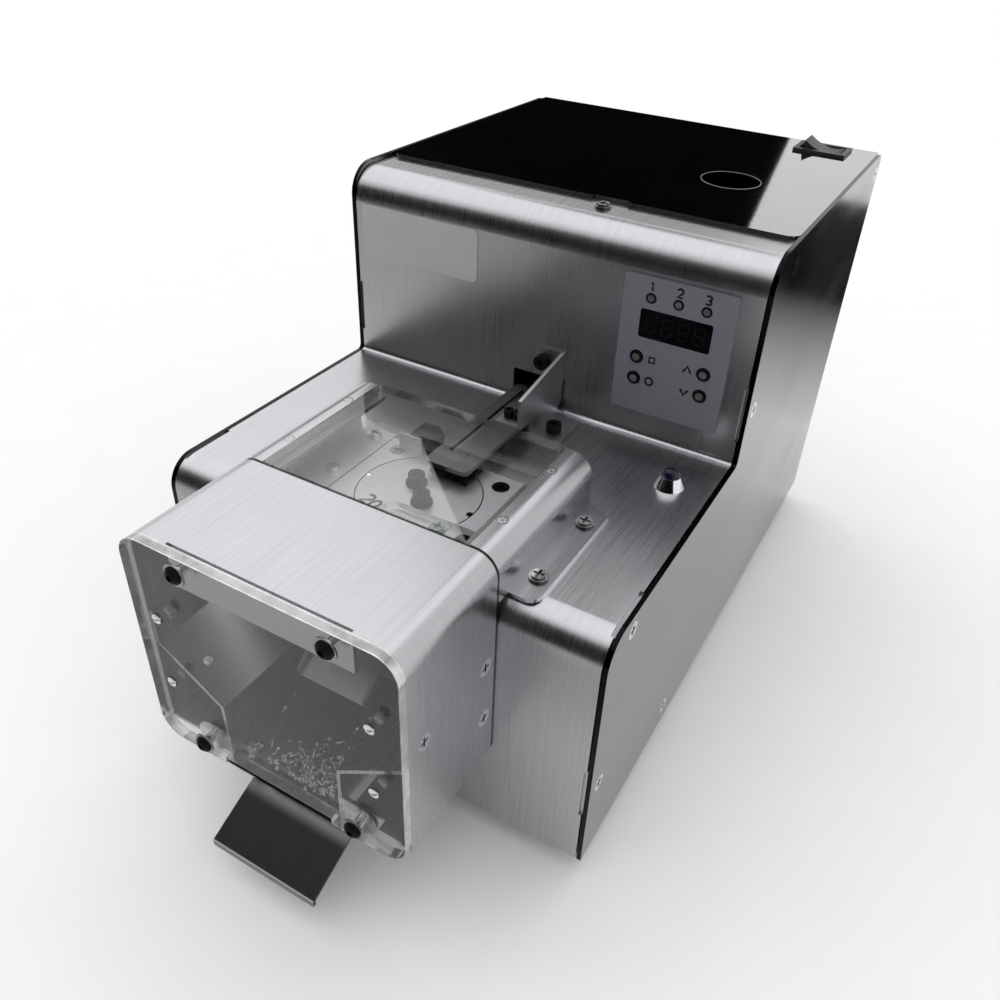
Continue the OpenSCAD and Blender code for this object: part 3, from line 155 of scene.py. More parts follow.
def blend(tree, share, first, second):
    """A number between two others by a share from 0 to 1."""
    mix = tree.nodes.new("ShaderNodeMix")
    for socket, value in zip(mix.inputs[:1] + mix.inputs[2:4], (share, first, second)):
        feed(tree, socket, value)
    return mix.outputs[0]


def level(tree, value, low, high, start=NOISE_LOW, end=NOISE_HIGH):
    """A number stretched from start..end onto low..high."""
    node = tree.nodes.new("ShaderNodeMapRange")
    for key, number in (("From Min", start), ("From Max", end), ("To Min", low), ("To Max", high)):
        node.inputs[key].default_value = number
    tree.links.new(value, node.inputs["Value"])
    return node.outputs["Result"]


def tint(tree, value, *stops):
    """A colour from a number, by stops of (place, colour)."""
    ramp = tree.nodes.new("ShaderNodeValToRGB")
    band = ramp.color_ramp
    while len(band.elements) < len(stops):
        band.elements.new(0.5)
    for element, (at, colour) in zip(band.elements, stops):
        element.position = at
        element.color = (*colour, 1)
    tree.links.new(value, ramp.inputs["Fac"])
    return ramp.outputs["Color"]


def two_tone(tree, value, low, high):
    """A colour between two others by a soft noise."""
    return tint(tree, value, (NOISE_LOW, low), (NOISE_HIGH, high))


def over_coat(tree, share, under, colour):
    """A colour laid over another by a share from 0 to 1."""
    mix = tree.nodes.new("ShaderNodeMix")
    mix.data_type = "RGBA"
    mix.inputs["B"].default_value = (*colour, 1)
    tree.links.new(share, mix.inputs["Factor"])
    tree.links.new(under, mix.inputs["A"])
    return mix.outputs["Result"]


def both(tree, first, second):
    """The product of two shares."""
    return reckon(tree, "MULTIPLY", first, second)


def rest_of(tree, share):
    """What a share leaves of 1."""
    return level(tree, share, 1, 0, 0, 1)


def facing(tree, axis):
    """How far the surface looks along an axis, from 0 to 1."""
    size = reckon(tree, "ABSOLUTE", coordinate(tree, "Normal", axis))
    return level(tree, size, 0, 1, LEAN_LOW, LEAN_HIGH)


def along(tree, axis, start, end):
    """A number that goes from 0 to 1 between two places on an axis, in millimetres."""
    return level(tree, coordinate(tree, "Object", axis), 0, 1, start * MM, end * MM)


def between(tree, axis, low, high):
    """1 between two places on an axis and 0 outside them, in millimetres."""
    past_low = along(tree, axis, low - SOFT, low + SOFT)
    short_of_high = along(tree, axis, high + SOFT, high - SOFT)
    return both(tree, past_low, short_of_high)


def near(tree, centre, radius):
    """1 within a radius of a place and 0 outside it, in millimetres."""
    size = tree.nodes.new("ShaderNodeVectorMath")
    size.operation = "LENGTH"
    tree.links.new(place(tree, (1 / (radius * MM),) * 3, centre), size.inputs[0])
    return level(tree, size.outputs["Value"], 1, 0, 1 - SOFT_SHARE, 1 + SOFT_SHARE)


def dress(tree, shader, colour, rough, bumps, depth):
    """Give the shader a colour, a roughness and a bump of a depth in millimetres."""
    tree.links.new(colour, shader.inputs["Base Color"])
    feed(tree, shader.inputs["Roughness"], rough)
    bump = tree.nodes.new("ShaderNodeBump")
    bump.inputs["Strength"].default_value = 1
    bump.inputs["Distance"].default_value = depth * MM
    tree.links.new(bumps, bump.inputs["Height"])
    tree.links.new(bump.outputs["Normal"], shader.inputs["Normal"])


def shade(tone, cast=(1, 1, 1)):
    """A grey of one tone with a slight cast."""
    return tuple(tone * c for c in cast)


# Finishes

COOL = (0.99, 0.99, 1.03)
GREENISH = (0.99, 1.0, 0.965)
BLUED = (0.85, 0.95, 1.2)
CLEAR = (0.966, 0.97, 0.968)
BLACK_CUT = (0.008, 0.008, 0.009)
# Counts per metre along a brushed line, and of clouds, speckle and fleck on metal
LINE, CLOUD, SPECKLE, FLECK = 28, 16, 260, 900
# Counts per metre of close upright lines, of wiped smears and of scratches on a polished sheet
UPRIGHT, SMEAR, SCRATCH = (900, 900, 9), (9, 12, 30), (60, 900, 500)
# How much of each mix is clouds, smears, speckle or broad fleck, and how much broader that fleck is
CLOUD_SHARE, SMEAR_SHARE, SPECKLE_SHARE, BROAD_SHARE = 0.35, 0.6, 0.55, 0.4
BROADER = 12


def grained_sheet(name, tone, rough, grain, depth, cast=COOL, change=0.06, strip_tone=None):
    """Brushed stainless: fine lines upright on faces and front to back on the deck, with faint clouds.

    A strip tone, where given, is another tone and a function that finds where it lies: painted shadow in the
    box's seam, painted highlight on the cover's flange edges, and a paler tone on the guides' front edges.
    """
    tree, shader = begin(name, shade(tone, cast), metal=1.0, rough=rough)
    across = noise(tree, (grain, LINE, LINE), detail=3)
    sideways = noise(tree, (LINE, grain, LINE), detail=3)
    lines = blend(tree, facing(tree, "X"), across, sideways)
    clouds = noise(tree, (CLOUD,) * 3, detail=3)
    body = blend(tree, CLOUD_SHARE, lines, clouds)
    colour = tint(tree, body, (MIX_LOW, shade(tone * (1 - change), cast)), (0.5, shade(tone, cast)),
                  (MIX_HIGH, shade(tone * (1 + change), cast)))
    if strip_tone:
        edge_tone, edge_of = strip_tone
        # The strip's tone: painted shadow in the box's seam, painted highlight on the cover's flange edges
        colour = over_coat(tree, edge_of(tree), colour, shade(edge_tone, cast))
    dress(tree, shader, colour, level(tree, body, rough * 0.88, rough * 1.14), lines, depth)


def smudged_sheet(name, tone, rough, black_edge=False):
    """Smooth satin sheet: close upright lines, wiped smears and a few finger marks.

    A black edge blackens the cut edges of a panel that looks to the side.
    """
    tree, shader = begin(name, shade(tone, COOL), metal=1.0, rough=rough)
    lines = noise(tree, UPRIGHT, detail=3)
    smears = noise(tree, SMEAR, detail=4)
    body = blend(tree, SMEAR_SHARE, lines, smears)
    colour = two_tone(tree, body, shade(tone * 0.92, COOL), shade(tone * 1.06, COOL))
    if black_edge:
        colour = over_coat(tree, rest_of(tree, facing(tree, "X")), colour, BLACK_CUT)
    dress(tree, shader, colour, level(tree, smears, rough * 0.75, rough * 1.3), lines, depth=0.004)


# A painted highlight lies on the chute's tip between two distances behind it, and another on its bend from
# the box's front on
CHUTE_TIP_Y, BOX_FRONT_Y = node_box("discharge_gate")[0][1], node_box("collector_box")[0][1]
TIP_HIGHLIGHT_FULL, TIP_HIGHLIGHT_END = 0.05, 0.4
BEND_BEFORE, BEND_BEHIND = 0.2, 4.2


def chute_sheet():
    """Dark satin chute with a painted highlight at its upper bend, by the square of the way back, and
    another at its lip's tip.
    """
    tree, shader = begin("chute_sheet", (0.019, 0.019, 0.02), metal=1.0, rough=0.22)
    lines = noise(tree, (2600, 20, 20), detail=3)
    painted_tip_highlight = along(tree, "Y", CHUTE_TIP_Y + TIP_HIGHLIGHT_END, CHUTE_TIP_Y + TIP_HIGHLIGHT_FULL)
    bend = along(tree, "Y", BOX_FRONT_Y - BEND_BEFORE, BOX_FRONT_Y + BEND_BEHIND)
    colour = two_tone(tree, lines, (0.016, 0.016, 0.017), (0.022, 0.0215, 0.023))
    # Painted highlights: a pale grey over the bend, then a paler grey over the lip's tip
    colour = over_coat(tree, both(tree, bend, bend), colour, (0.2, 0.2, 0.21))
    colour = over_coat(tree, painted_tip_highlight, colour, (0.36, 0.35, 0.33))
    dress(tree, shader, colour, level(tree, lines, 0.18, 0.25), lines, depth=0.002)


def turned_steel(name, tone, rough, centre, pitch):
    """Turned steel: rings round its axis over a fine speckle."""
    tree, shader = begin(name, shade(tone), metal=1.0, rough=rough)
    lathe = rings(tree, centre, pitch)
    speckle = noise(tree, (SPECKLE,) * 3, detail=4)
    body = blend(tree, SPECKLE_SHARE, lathe, speckle)
    colour = two_tone(tree, body, shade(tone * 0.9), shade(tone * 1.08))
    dress(tree, shader, colour, level(tree, body, rough * 0.85, rough * 1.2), lathe, depth=0.006)


def flecked(name, colour, rough, scale, depth, metal=0.0, change=0.18, **sockets):
    """A finish with a fine fleck in colour, shine and surface: oxide, moulded plastic, rubber or plate."""
    tree, shader = begin(name, colour, metal, rough, **sockets)
    fleck = noise(tree, (scale,) * 3, detail=5)
    broad = noise(tree, (scale / BROADER,) * 3, detail=2)
    body = blend(tree, BROAD_SHARE, fleck, broad)
    low = tuple(max(0, c * (1 - change)) for c in colour)
    high = tuple(min(1, c * (1 + change)) for c in colour)
    colour = tint(tree, body, (MIX_LOW, low), (MIX_HIGH, high))
    dress(tree, shader, colour, level(tree, body, rough * 0.8, min(1, rough * 1.2)), fleck, depth)


def plated_and_dark(name, dark_at, radius):
    """Plated screws, with others of a darker colour within a radius of some places."""
    tree, shader = begin(name, (0.62, 0.62, 0.63), metal=1.0, rough=0.2)
    fleck = noise(tree, (FLECK,) * 3, detail=4)
    colour = two_tone(tree, fleck, (0.56, 0.56, 0.57), (0.68, 0.68, 0.7))
    for spot, dark in dark_at:
        colour = over_coat(tree, near(tree, spot, radius), colour, dark)
    dress(tree, shader, colour, level(tree, fleck, 0.16, 0.28), fleck, depth=0.004)


def plated_head(name, axis, metal, darker_from=None):
    """Bright plate on faces that look along an axis, with painted shade on a head's flanks and in its slot.

    Behind the place darker_from, where given, the plate is a darker grey, as on the nuts.
    """
    tree, shader = begin(name, (0.8, 0.8, 0.82), metal, rough=0.14)
    fleck = noise(tree, (FLECK,) * 3, detail=4)
    colour = two_tone(tree, fleck, (0.72, 0.72, 0.73), (0.84, 0.84, 0.86))
    if darker_from is not None:
        behind_it = along(tree, "Y", darker_from - SOFT, darker_from + SOFT)
        colour = over_coat(tree, behind_it, colour, (0.28, 0.28, 0.285))
    # Painted shade: a near-black over the flanks and slot walls, by how far they turn from the axis
    flank_shade = rest_of(tree, facing(tree, axis))
    colour = over_coat(tree, flank_shade, colour, (0.09, 0.09, 0.095))
    dress(tree, shader, colour, level(tree, fleck, 0.1, 0.2), fleck, depth=0.003)


# Acrylic: its index, the share it mirrors straight on, and the width of a pale line along a cut edge
ACRYLIC_INDEX, ACRYLIC_MIRROR, PALE_LINE = 1.49, 0.055, 0.35
# Roughness of its sawn edges, and of its polish from clear to scratched
SAWN_ROUGH, POLISH_ROUGH = 0.15, (0.01, 0.04)


def clear_acrylic(name, through, node, lines=0.5, milky=0.1, milky_side=0.1):
    """Clear acrylic sheet: light goes straight through, and its polish mirrors more at a low angle.

    Its polished faces look along the axis named by through. Its cut edges have pale lines along both
    faces and a milky middle, which may be milkier on the edges that look sideways. What it mirrors grows
    from its share straight on to 1 by the fifth power of the lean.
    """
    low, high = (corner["XYZ".index(through)] for corner in node_box(node))
    tree, shader = begin(name, (0.86, 0.87, 0.865), metal=1.0, rough=0.03)
    polish = facing(tree, through)
    scratches = level(tree, noise(tree, SCRATCH, detail=4), *POLISH_ROUGH, 0.5, 0.8)
    feed(tree, shader.inputs["Roughness"], blend(tree, polish, SAWN_ROUGH, scratches))
    lean = tree.nodes.new("ShaderNodeLayerWeight")
    lean.inputs["Blend"].default_value = 0.5
    steep = reckon(tree, "POWER", lean.outputs["Facing"], 5)
    mirror = level(tree, steep, ACRYLIC_MIRROR, 1.0, 0, 1)
    streaks = level(tree, noise(tree, (SPECKLE,) * 3, detail=4), 0.6, 1.0, 0.35, 0.65)
    middle = between(tree, through, low + PALE_LINE, high - PALE_LINE)
    milk = blend(tree, facing(tree, "X"), milky, milky_side)
    pale = both(tree, streaks, blend(tree, middle, lines, milk))
    within = tree.nodes.new("ShaderNodeFresnel")
    within.inputs["IOR"].default_value = ACRYLIC_INDEX
    sawn = rest_of(tree, both(tree, rest_of(tree, pale), rest_of(tree, within.outputs[0])))
    clear = tree.nodes.new("ShaderNodeBsdfTransparent")
    clear.inputs["Color"].default_value = (*CLEAR, 1)
    mix = tree.nodes.new("ShaderNodeMixShader")
    tree.links.new(blend(tree, polish, sawn, mirror), mix.inputs[0])
    tree.links.new(clear.outputs[0], mix.inputs[1])
    tree.links.new(shader.outputs[0], mix.inputs[2])
    tree.links.new(mix.outputs[0], tree.nodes["Material Output"].inputs["Surface"])


def winding(rough):
    """Enamelled copper wire laid in close level turns."""
    tree, shader = begin("copper_winding", (0.55, 0.25, 0.1), metal=1.0, rough=rough, Coat_Weight=0.4)
    turns = noise(tree, (8, 8, 2600), detail=1)
    colour = tint(tree, turns, (0.35, (0.3, 0.12, 0.05)), (0.65, (0.72, 0.36, 0.16)))
    dress(tree, shader, colour, rough, turns, depth=0.15)


def circuit_board(rough):
    """Green board with paler copper runs under its lacquer."""
    lacquer, run = (0.02, 0.13, 0.06), (0.05, 0.28, 0.13)
    tree, shader = begin("circuit_board", (0.03, 0.2, 0.1), metal=0.0, rough=rough)
    runs = noise(tree, (320, 120, 320), detail=0)
    colour = tint(tree, runs, (0.46, lacquer), (0.5, run), (0.54, lacquer))
    dress(tree, shader, colour, rough, runs, depth=0.05)


# Black screws by the disc and on its guard, and the guard's passivated one, each as (place, colour)
DARK_SCREWS = [((20, -51.7, 103), (0.02, 0.02, 0.022)), ((26.5, -84.3, 106), (0.012, 0.012, 0.013)),
               ((17.1, -83.9, 106), (0.24, 0.27, 0.25))]
DARK_SCREW_R = 3.6
# Widths of a guide's flange on the wall and of the disc cover's foot flange, and half that of the painted
# shadow in the box's seam
GUIDE_FLANGE, FOOT_FLANGE, SEAM = 6.3, 7.4, 0.7
GUIDE_WALL_X = node_box("right_guide")[1][0] - GUIDE_FLANGE
FLANGE_IN_X = node_box("disc_cover")[1][0] - FOOT_FLANGE
BOX_REAR_Y = node_box("collector_box")[1][1]
WINDOW_LOW, WINDOW_HIGH = node_box("collector_window")
WINDOW_MID_Y = (WINDOW_LOW[1] + WINDOW_HIGH[1]) / 2
DISC_LOW, DISC_HIGH = node_box("index_disc")
DISC_MID = (DISC_LOW + DISC_HIGH) / 2


def box_seam_shadow(tree):
    """The strip of the collector box's walls that lies in the seam at the body's front face, painted dark as
    the seam's shadow.
    """
    return between(tree, "Y", BOX_REAR_Y - SEAM, BOX_REAR_Y + SEAM)


def guide_edge(tree):
    """The edges of a guide that look to the front, clear of its flange on the wall."""
    return both(tree, facing(tree, "Y"), between(tree, "X", -GUIDE_WALL_X, GUIDE_WALL_X))


def flange_edge_highlight(tree):
    """The outer edges of the disc cover's foot flanges, where a painted highlight goes."""
    outside = rest_of(tree, between(tree, "X", -FLANGE_IN_X, FLANGE_IN_X))
    return both(tree, facing(tree, "X"), outside)


grained_sheet("brushed_sheet", tone=0.48, rough=0.29, grain=2000, depth=0.001, change=0.09)
# The box's walls take a painted shadow in their seam at the body's front face
grained_sheet("box_sheet", tone=0.48, rough=0.29, grain=2000, depth=0.001, change=0.09,
              strip_tone=(0.03, box_seam_shadow))
grained_sheet("mill_sheet", tone=0.3, rough=0.3, grain=2200, depth=0.002, cast=GREENISH, change=0.03)
# The cover's foot flanges take a painted highlight along their outer edges
grained_sheet("cover_sheet", tone=0.45, rough=0.26, grain=2000, depth=0.0015, strip_tone=(0.95, flange_edge_highlight))
grained_sheet("guide_sheet", tone=0.3, rough=0.26, grain=2200, depth=0.002, cast=GREENISH, change=0.03,
              strip_tone=(0.62, guide_edge))
grained_sheet("plate_sheet", tone=0.56, rough=0.5, grain=2600, depth=0.004)
grained_sheet("ground_steel", tone=0.52, rough=0.34, grain=2600, depth=0.006)
grained_sheet("spring_blue", tone=0.3, rough=0.3, grain=1600, depth=0.01, cast=BLUED)
smudged_sheet("bracket_sheet", tone=0.52, rough=0.32)
smudged_sheet("satin_panel", tone=0.235, rough=0.18)
smudged_sheet("side_panel", tone=0.235, rough=0.18, black_edge=True)
smudged_sheet("mirror_cover", tone=0.45, rough=0.045)
chute_sheet()
turned_steel("disc_steel", tone=0.54, rough=0.42, centre=DISC_MID, pitch=0.5)
plated_head("head_up", "Z", metal=0.85)
plated_head("head_slope", "Z", metal=0.1)
plated_head("head_front", "Y", metal=0.35, darker_from=WINDOW_MID_Y)
plated_and_dark("plate_screws", DARK_SCREWS, DARK_SCREW_R)
clear_acrylic("window_acrylic", "Y", "collector_window", lines=0.75, milky=0.36, milky_side=0.95)
clear_acrylic("lid_acrylic", "Z", "disc_lid")
clear_acrylic("guard_acrylic", "Z", "disc_guard")
winding(rough=0.3)
circuit_board(rough=0.35)
flecked("bright_plate", (0.78, 0.78, 0.8), rough=0.13, scale=700, depth=0.003, metal=1.0, change=0.06)
flecked("washer_steel", (0.42, 0.42, 0.43), rough=0.3, scale=900, depth=0.004, metal=1.0, change=0.1)
flecked("heap_steel", (0.68, 0.68, 0.66), rough=0.14, scale=1200, depth=0.002, metal=1.0, change=0.15)
flecked("motor_housing", (0.03, 0.03, 0.033), rough=0.4, scale=900, depth=0.02, metal=0.7, change=0.3)
flecked("engraved", (0.05, 0.05, 0.053), rough=0.5, scale=2000, depth=0.004, metal=0.4, change=0.25)
flecked("panel_film", (0.145, 0.141, 0.17), rough=0.45, scale=3200, depth=0.006, metal=0.15, change=0.07)
flecked("name_plate", (0.365, 0.366, 0.372), rough=0.36, scale=2400, depth=0.005, metal=0.1, change=0.06)
flecked("black_moulded", (0.016, 0.016, 0.018), rough=0.42, scale=1800, depth=0.02)
flecked("key_grey", (0.07, 0.067, 0.067), rough=0.5, scale=2600, depth=0.04, change=0.5)
flecked("lamp_lens", (0.065, 0.063, 0.064), rough=0.35, scale=2200, depth=0.03, change=0.5)
flecked("rubber", (0.025, 0.025, 0.026), rough=0.75, scale=1200, depth=0.05, change=0.3)
flecked("black_oxide", (0.005, 0.005, 0.0055), rough=0.45, scale=1500, depth=0.01, Specular_IOR_Level=0.12)
flecked("display_gloss", (0.002, 0.002, 0.003), rough=0.1, scale=500, depth=0.001, Specular_IOR_Level=0.12)
flecked("violet_lens", (0.007, 0.005, 0.02), rough=0.12, scale=900, depth=0.002, change=0.4,
        Specular_IOR_Level=0.3)
flecked("bristle", (0.006, 0.006, 0.0065), rough=0.5, scale=2500, depth=0.01, change=0.4,
        Specular_IOR_Level=0.2)
flecked("mark_ink", (0.005, 0.005, 0.006), rough=0.5, scale=2000, depth=0.002, change=0.3,
        Specular_IOR_Level=0.2)
flecked("segment_grey", (0.003, 0.0028, 0.0028), rough=0.5, scale=2000, depth=0.002, change=0.3,
        Specular_IOR_Level=0.12)

# Which finish each kind of node takes, then the nodes that differ from their kind
FINISH_OF_SLOT = {
    "brushed_sheet": "brushed_sheet", "satin_sheet": "satin_panel", "inner_sheet": "mill_sheet",
    "dark_sheet": "chute_sheet", "bright_steel": "ground_steel", "chrome": "bright_plate",
    "black_steel": "black_oxide", "clear_plastic": "window_acrylic", "black_plastic": "black_moulded",
    "black_gloss": "display_gloss", "grey_plastic": "black_moulded", "panel_film": "panel_film",
    "lamp": "violet_lens", "led": "black_moulded", "bristle": "bristle", "rubber": "rubber",
    "board": "circuit_board", "motor": "motor_housing", "copper": "copper_winding",
    "spring_steel": "spring_blue",
}
FINISH_OF_NODE = {
    "collector_box": "box_sheet", "disc_cover": "cover_sheet", "top_cover": "mirror_cover",
    "side_panel_left": "side_panel", "side_panel_right": "side_panel",
    "left_guide": "guide_sheet", "right_guide": "guide_sheet",
    "arm_bracket": "bracket_sheet", "hold_down": "mill_sheet",
    "index_disc": "disc_steel", "disc_plate": "plate_sheet", "side_plate": "plate_sheet",
    "disc_lid": "lid_acrylic", "disc_guard": "guard_acrylic",
    "plate_screws": "plate_screws", "pan_screws": "head_up", "window_washers": "washer_steel",
    "set_button": "black_oxide", "ok_button": "black_oxide", "up_button": "black_oxide",
    "down_button": "black_oxide", "status_leds": "black_oxide",
}

for part in frame["record"]["subparts"]:
    node = part["node"]
    finish = FINISH_OF_NODE.get(node, FINISH_OF_SLOT[part["material_slot"]])
    for spot in NODES[node].material_slots:
        spot.material = FINISH[finish]


# Shapes

# In metres: points closer than the first are one, and an edge shorter than the second is none
SAME_PLACE, NO_LENGTH = 2e-6, 1e-7


def make(name, shape, body, finish, smooth=True):
    """A piece from a shape in millimetres: doubles merged, faces turned outwards, riding on a body."""
    points, faces = shape
    mesh = bpy.data.meshes.new(name)
    mesh.from_pydata((np.asarray(points, float) * MM).tolist(), [], np.asarray(faces).tolist())
    work = bmesh.new()
    work.from_mesh(mesh)
    bmesh.ops.remove_doubles(work, verts=work.verts, dist=SAME_PLACE)
    bmesh.ops.dissolve_degenerate(work, edges=work.edges, dist=NO_LENGTH)
    bmesh.ops.recalc_face_normals(work, faces=work.faces)
    work.to_mesh(mesh)
    work.free()
    mesh.polygons.foreach_set("use_smooth", np.full(len(mesh.polygons), smooth))
    mesh.materials.append(FINISH[finish])
    piece = bpy.data.objects.new(name, mesh)
    bpy.context.scene.collection.objects.link(piece)
    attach(piece, body)
    return piece


def grid_faces(rows, columns):
    """Four-cornered faces between neighbours of a grid whose last column joins the first."""
    i, j = np.meshgrid(np.arange(rows - 1), np.arange(columns), indexing="ij")
    k = (j + 1) % columns
    return np.stack([i * columns + j, i * columns + k, (i + 1) * columns + k, (i + 1) * columns + j],
                    -1).reshape(-1, 4)


def unit(ways):
    """Each way made one long."""
    ways = np.asarray(ways, float)
    return ways / np.linalg.norm(ways, axis=-1, keepdims=True)


def turned(profile, sides):
    """A profile of (radius, height) carried once round the upright axis."""
    profile = np.asarray(profile, float)
    a = np.arange(sides) * 2 * np.pi / sides
    ring = np.stack([np.cos(a), np.sin(a)], -1)
    flat = profile[:, None, :1] * ring[None]
    up = np.broadcast_to(profile[:, None, 1:], (len(profile), sides, 1))
    return np.concatenate([flat, up], -1).reshape(-1, 3), grid_faces(len(profile), sides)


CORNER_STEPS, SHARPEST = 7, 0.02


def rounded_outline(half_w, half_h, radius, inset):
    """A rectangle with round corners, moved inwards by an inset, as points round its centre."""
    a = np.linspace(0, np.pi / 2, CORNER_STEPS)
    turn = a[None] + np.arange(4)[:, None] * np.pi / 2
    x_side = np.array([1, -1, -1, 1])[:, None]
    y_side = np.array([1, 1, -1, -1])[:, None]
    r = max(radius - inset, SHARPEST)
    x = x_side * (half_w - radius) + r * np.cos(turn)
    y = y_side * (half_h - radius) + r * np.sin(turn)
    return np.stack([x, y], -1).reshape(-1, 2)


def plate(half_w, half_h, radius, thick, bevel):
    """A flat plate: its outline carried out under it, up the edge, round the bevel and in to the middle."""
    round_off = bevel * 0.3
    steps = [(0.0, 0.0, 0), (0.0, 0.0, 1), (0.0, thick - bevel, 1), (round_off, thick - round_off, 1),
             (bevel, thick, 1), (bevel, thick, 0)]
    sides = 4 * CORNER_STEPS
    loops = [np.column_stack([rounded_outline(half_w, half_h, radius, inset) * keep, np.full(sides, height)])
             for inset, height, keep in steps]
    return np.concatenate(loops), grid_faces(len(loops), sides)


def stroke(path, width, thick, closed=False):
    """A flat line of ink: a low rectangle carried along a path of points, its ends closed."""
    path = np.asarray(path, float)
    ahead = np.roll(path, -1, 0) - path
    behind = path - np.roll(path, 1, 0)
    if not closed:
        ahead[-1], behind[0] = behind[-1], ahead[0]
    way = unit(unit(ahead) + unit(behind))
    side = np.stack([-way[:, 1], way[:, 0]], -1) * width / 2
    edge = np.stack([path - side, path + side, path + side, path - side], 1)
    high = np.broadcast_to(np.array([0, 0, thick, thick]), edge.shape[:2])[..., None]
    rows = np.concatenate([edge, high], -1)
    if closed:
        rows = np.concatenate([rows, rows[:1]])
    else:
        ends = np.stack([rows[0].mean(0), rows[-1].mean(0)])[:, None].repeat(4, 1)
        rows = np.concatenate([ends[:1], rows, ends[1:]])
    return rows.reshape(-1, 3), grid_faces(len(rows), 4)


def arc(centre, radius, start, end, steps=14):
    """Points on an arc; radius may be a pair for an oval, angles in degrees."""
    a = np.radians(np.linspace(start, end, steps))
    return np.asarray(centre) + np.stack([np.cos(a), np.sin(a)], -1) * radius


OVAL_STEPS, HEAD_RINGS = 9, 13


def collar(radius, start, end, rise):
    """A ring from start to end outside a radius: half an oval as its rounded top, carried round its axis."""
    inner, outer = radius + start, radius + end
    mid, half = (inner + outer) / 2, (outer - inner) / 2
    top = arc((mid, 0), (half, rise), 0, 180, OVAL_STEPS)
    return turned(np.concatenate([top, top[:1]]), sides=40)


def cap(radius, rise):
    """A shallow dome on a flat foot: a quarter of an oval carried round its axis."""
    dome = arc((0, 0), (radius, rise), 90, 0, OVAL_STEPS)
    return turned(np.concatenate([dome, [(0, 0)]]), sides=32)


def round_grid(radius, sides):
    """Radius and places of a round grid in even steps of radius and angle."""
    r = np.linspace(0, radius, HEAD_RINGS)[:, None]
    a = np.arange(sides)[None] * 2 * np.pi / sides
    return r, r * np.cos(a), r * np.sin(a)


def closed_head(x, y, z, low):
    """A screw head from a round grid of its top, with a skirt straight down and a flat foot."""
    sides = x.shape[1]
    top = np.stack([x, y, z], -1)
    skirt = np.stack([x[-1], y[-1], np.full(sides, low)], -1)[None]
    foot = np.broadcast_to([0, 0, low], (1, sides, 3))
    rows = np.concatenate([top, skirt, foot])
    return rows.reshape(-1, 3), grid_faces(len(rows), sides)


# A cross's arm: its flank as a share of its half width, its reach as a share of the radius, its sloped end
ARM_FLANK, ARM_REACH, ARM_END = 0.35, 0.68, 0.2
# A slot's flank as a share of its half width, and how full the dome round it is
SLOT_FLANK, DOME_FULL = 0.4, 1.15


def cross_head(radius, rise, depth, arm, low):
    """A low screw head: a dome over radius and angle with a cross sunk where either arm is near."""
    r, x, y = round_grid(radius, sides=48)
    dome = rise * (1 - (r / radius) ** 2)
    off_arm = np.minimum(np.abs(x), np.abs(y))
    out_along = np.maximum(np.abs(x), np.abs(y))
    in_width = np.clip((arm - off_arm) / (ARM_FLANK * arm), 0, 1)
    in_length = np.clip((ARM_REACH * radius - out_along) / ARM_END, 0, 1)
    return closed_head(x, y, dome - depth * in_width * in_length, low)


def slotted_head(radius, rise, slot, depth):
    """A low screw head: an oval dome over radius and angle, sunk where it is near the middle line."""
    r, x, y = round_grid(radius, sides=40)
    dome = rise * np.sqrt(np.clip(DOME_FULL - (r / radius) ** 2, 0, None))
    in_slot = np.clip((slot - np.abs(y)) / (SLOT_FLANK * slot), 0, 1)
    return closed_head(x, y, dome - depth * in_slot, 0.0)


def joined(shapes):
    """Several shapes as one list of points and faces."""
    counts = np.cumsum([0] + [len(p) for p, _ in shapes[:-1]])
    return (np.concatenate([p for p, _ in shapes]),
            np.concatenate([f + c for (_, f), c in zip(shapes, counts)]))


def set_in(shape, origin, x_way, y_way):
    """A shape drawn flat, set at an origin with its own x and y ways; its height goes across them."""
    points, faces = shape
    x_way, y_way = unit(x_way), unit(y_way)
    turn = np.stack([x_way, y_way, np.cross(x_way, y_way)])
    return points @ turn + np.asarray(origin), faces


def on_top(shape, at, way=(1, 0)):
    """A shape laid flat at a place, its own x along a way over the ground."""
    x, y = way
    return set_in(shape, at, (x, y, 0), (-y, x, 0))


def on_front(shape, at, way=(1, 0)):
    """A shape set on an upright face that looks to the front, its own x along a way over that face."""
    x, z = way
    return set_in(shape, at, (x, 0, z), (-z, 0, x))


def copies(shape, turns, places):
    """One small shape at many places, each with its own turn matrix."""
    points, faces = shape
    spread = np.einsum("kij,nj->kni", turns, points) + places[:, None]
    shift = np.arange(len(places))[:, None, None] * len(points)
    return spread.reshape(-1, 3), (faces[None] + shift).reshape(-1, faces.shape[1])


def turn_to(ways):
    """Turn matrices that carry the upright axis onto each way."""
    z = unit(ways)
    helper = np.where(np.abs(z[:, :1]) < 0.8, [[1.0, 0, 0]], [[0, 1.0, 0]])
    x = unit(np.cross(helper, z))
    return np.stack([x, np.cross(z, x), z], -1)


# Name plate, left bare

PANEL_LOW, PANEL_HIGH = node_box("control_plate")
WALL_Y = PANEL_HIGH[1]
BLANK_X, BLANK_Z = (-75.4, -25.0), (141.8, 161.1)
BLANK_ROUND, BLANK_THICK, BLANK_BEVEL = 2.2, 0.35, 0.15
blank = plate((BLANK_X[1] - BLANK_X[0]) / 2, (BLANK_Z[1] - BLANK_Z[0]) / 2, BLANK_ROUND, BLANK_THICK,
              BLANK_BEVEL)
blank = on_front(blank, (sum(BLANK_X) / 2, WALL_Y, sum(BLANK_Z) / 2))
make("name_plate_blank", blank, "machine", "name_plate", smooth=False)


# Control panel: numbers over the lamps, arrows and marks by the keys

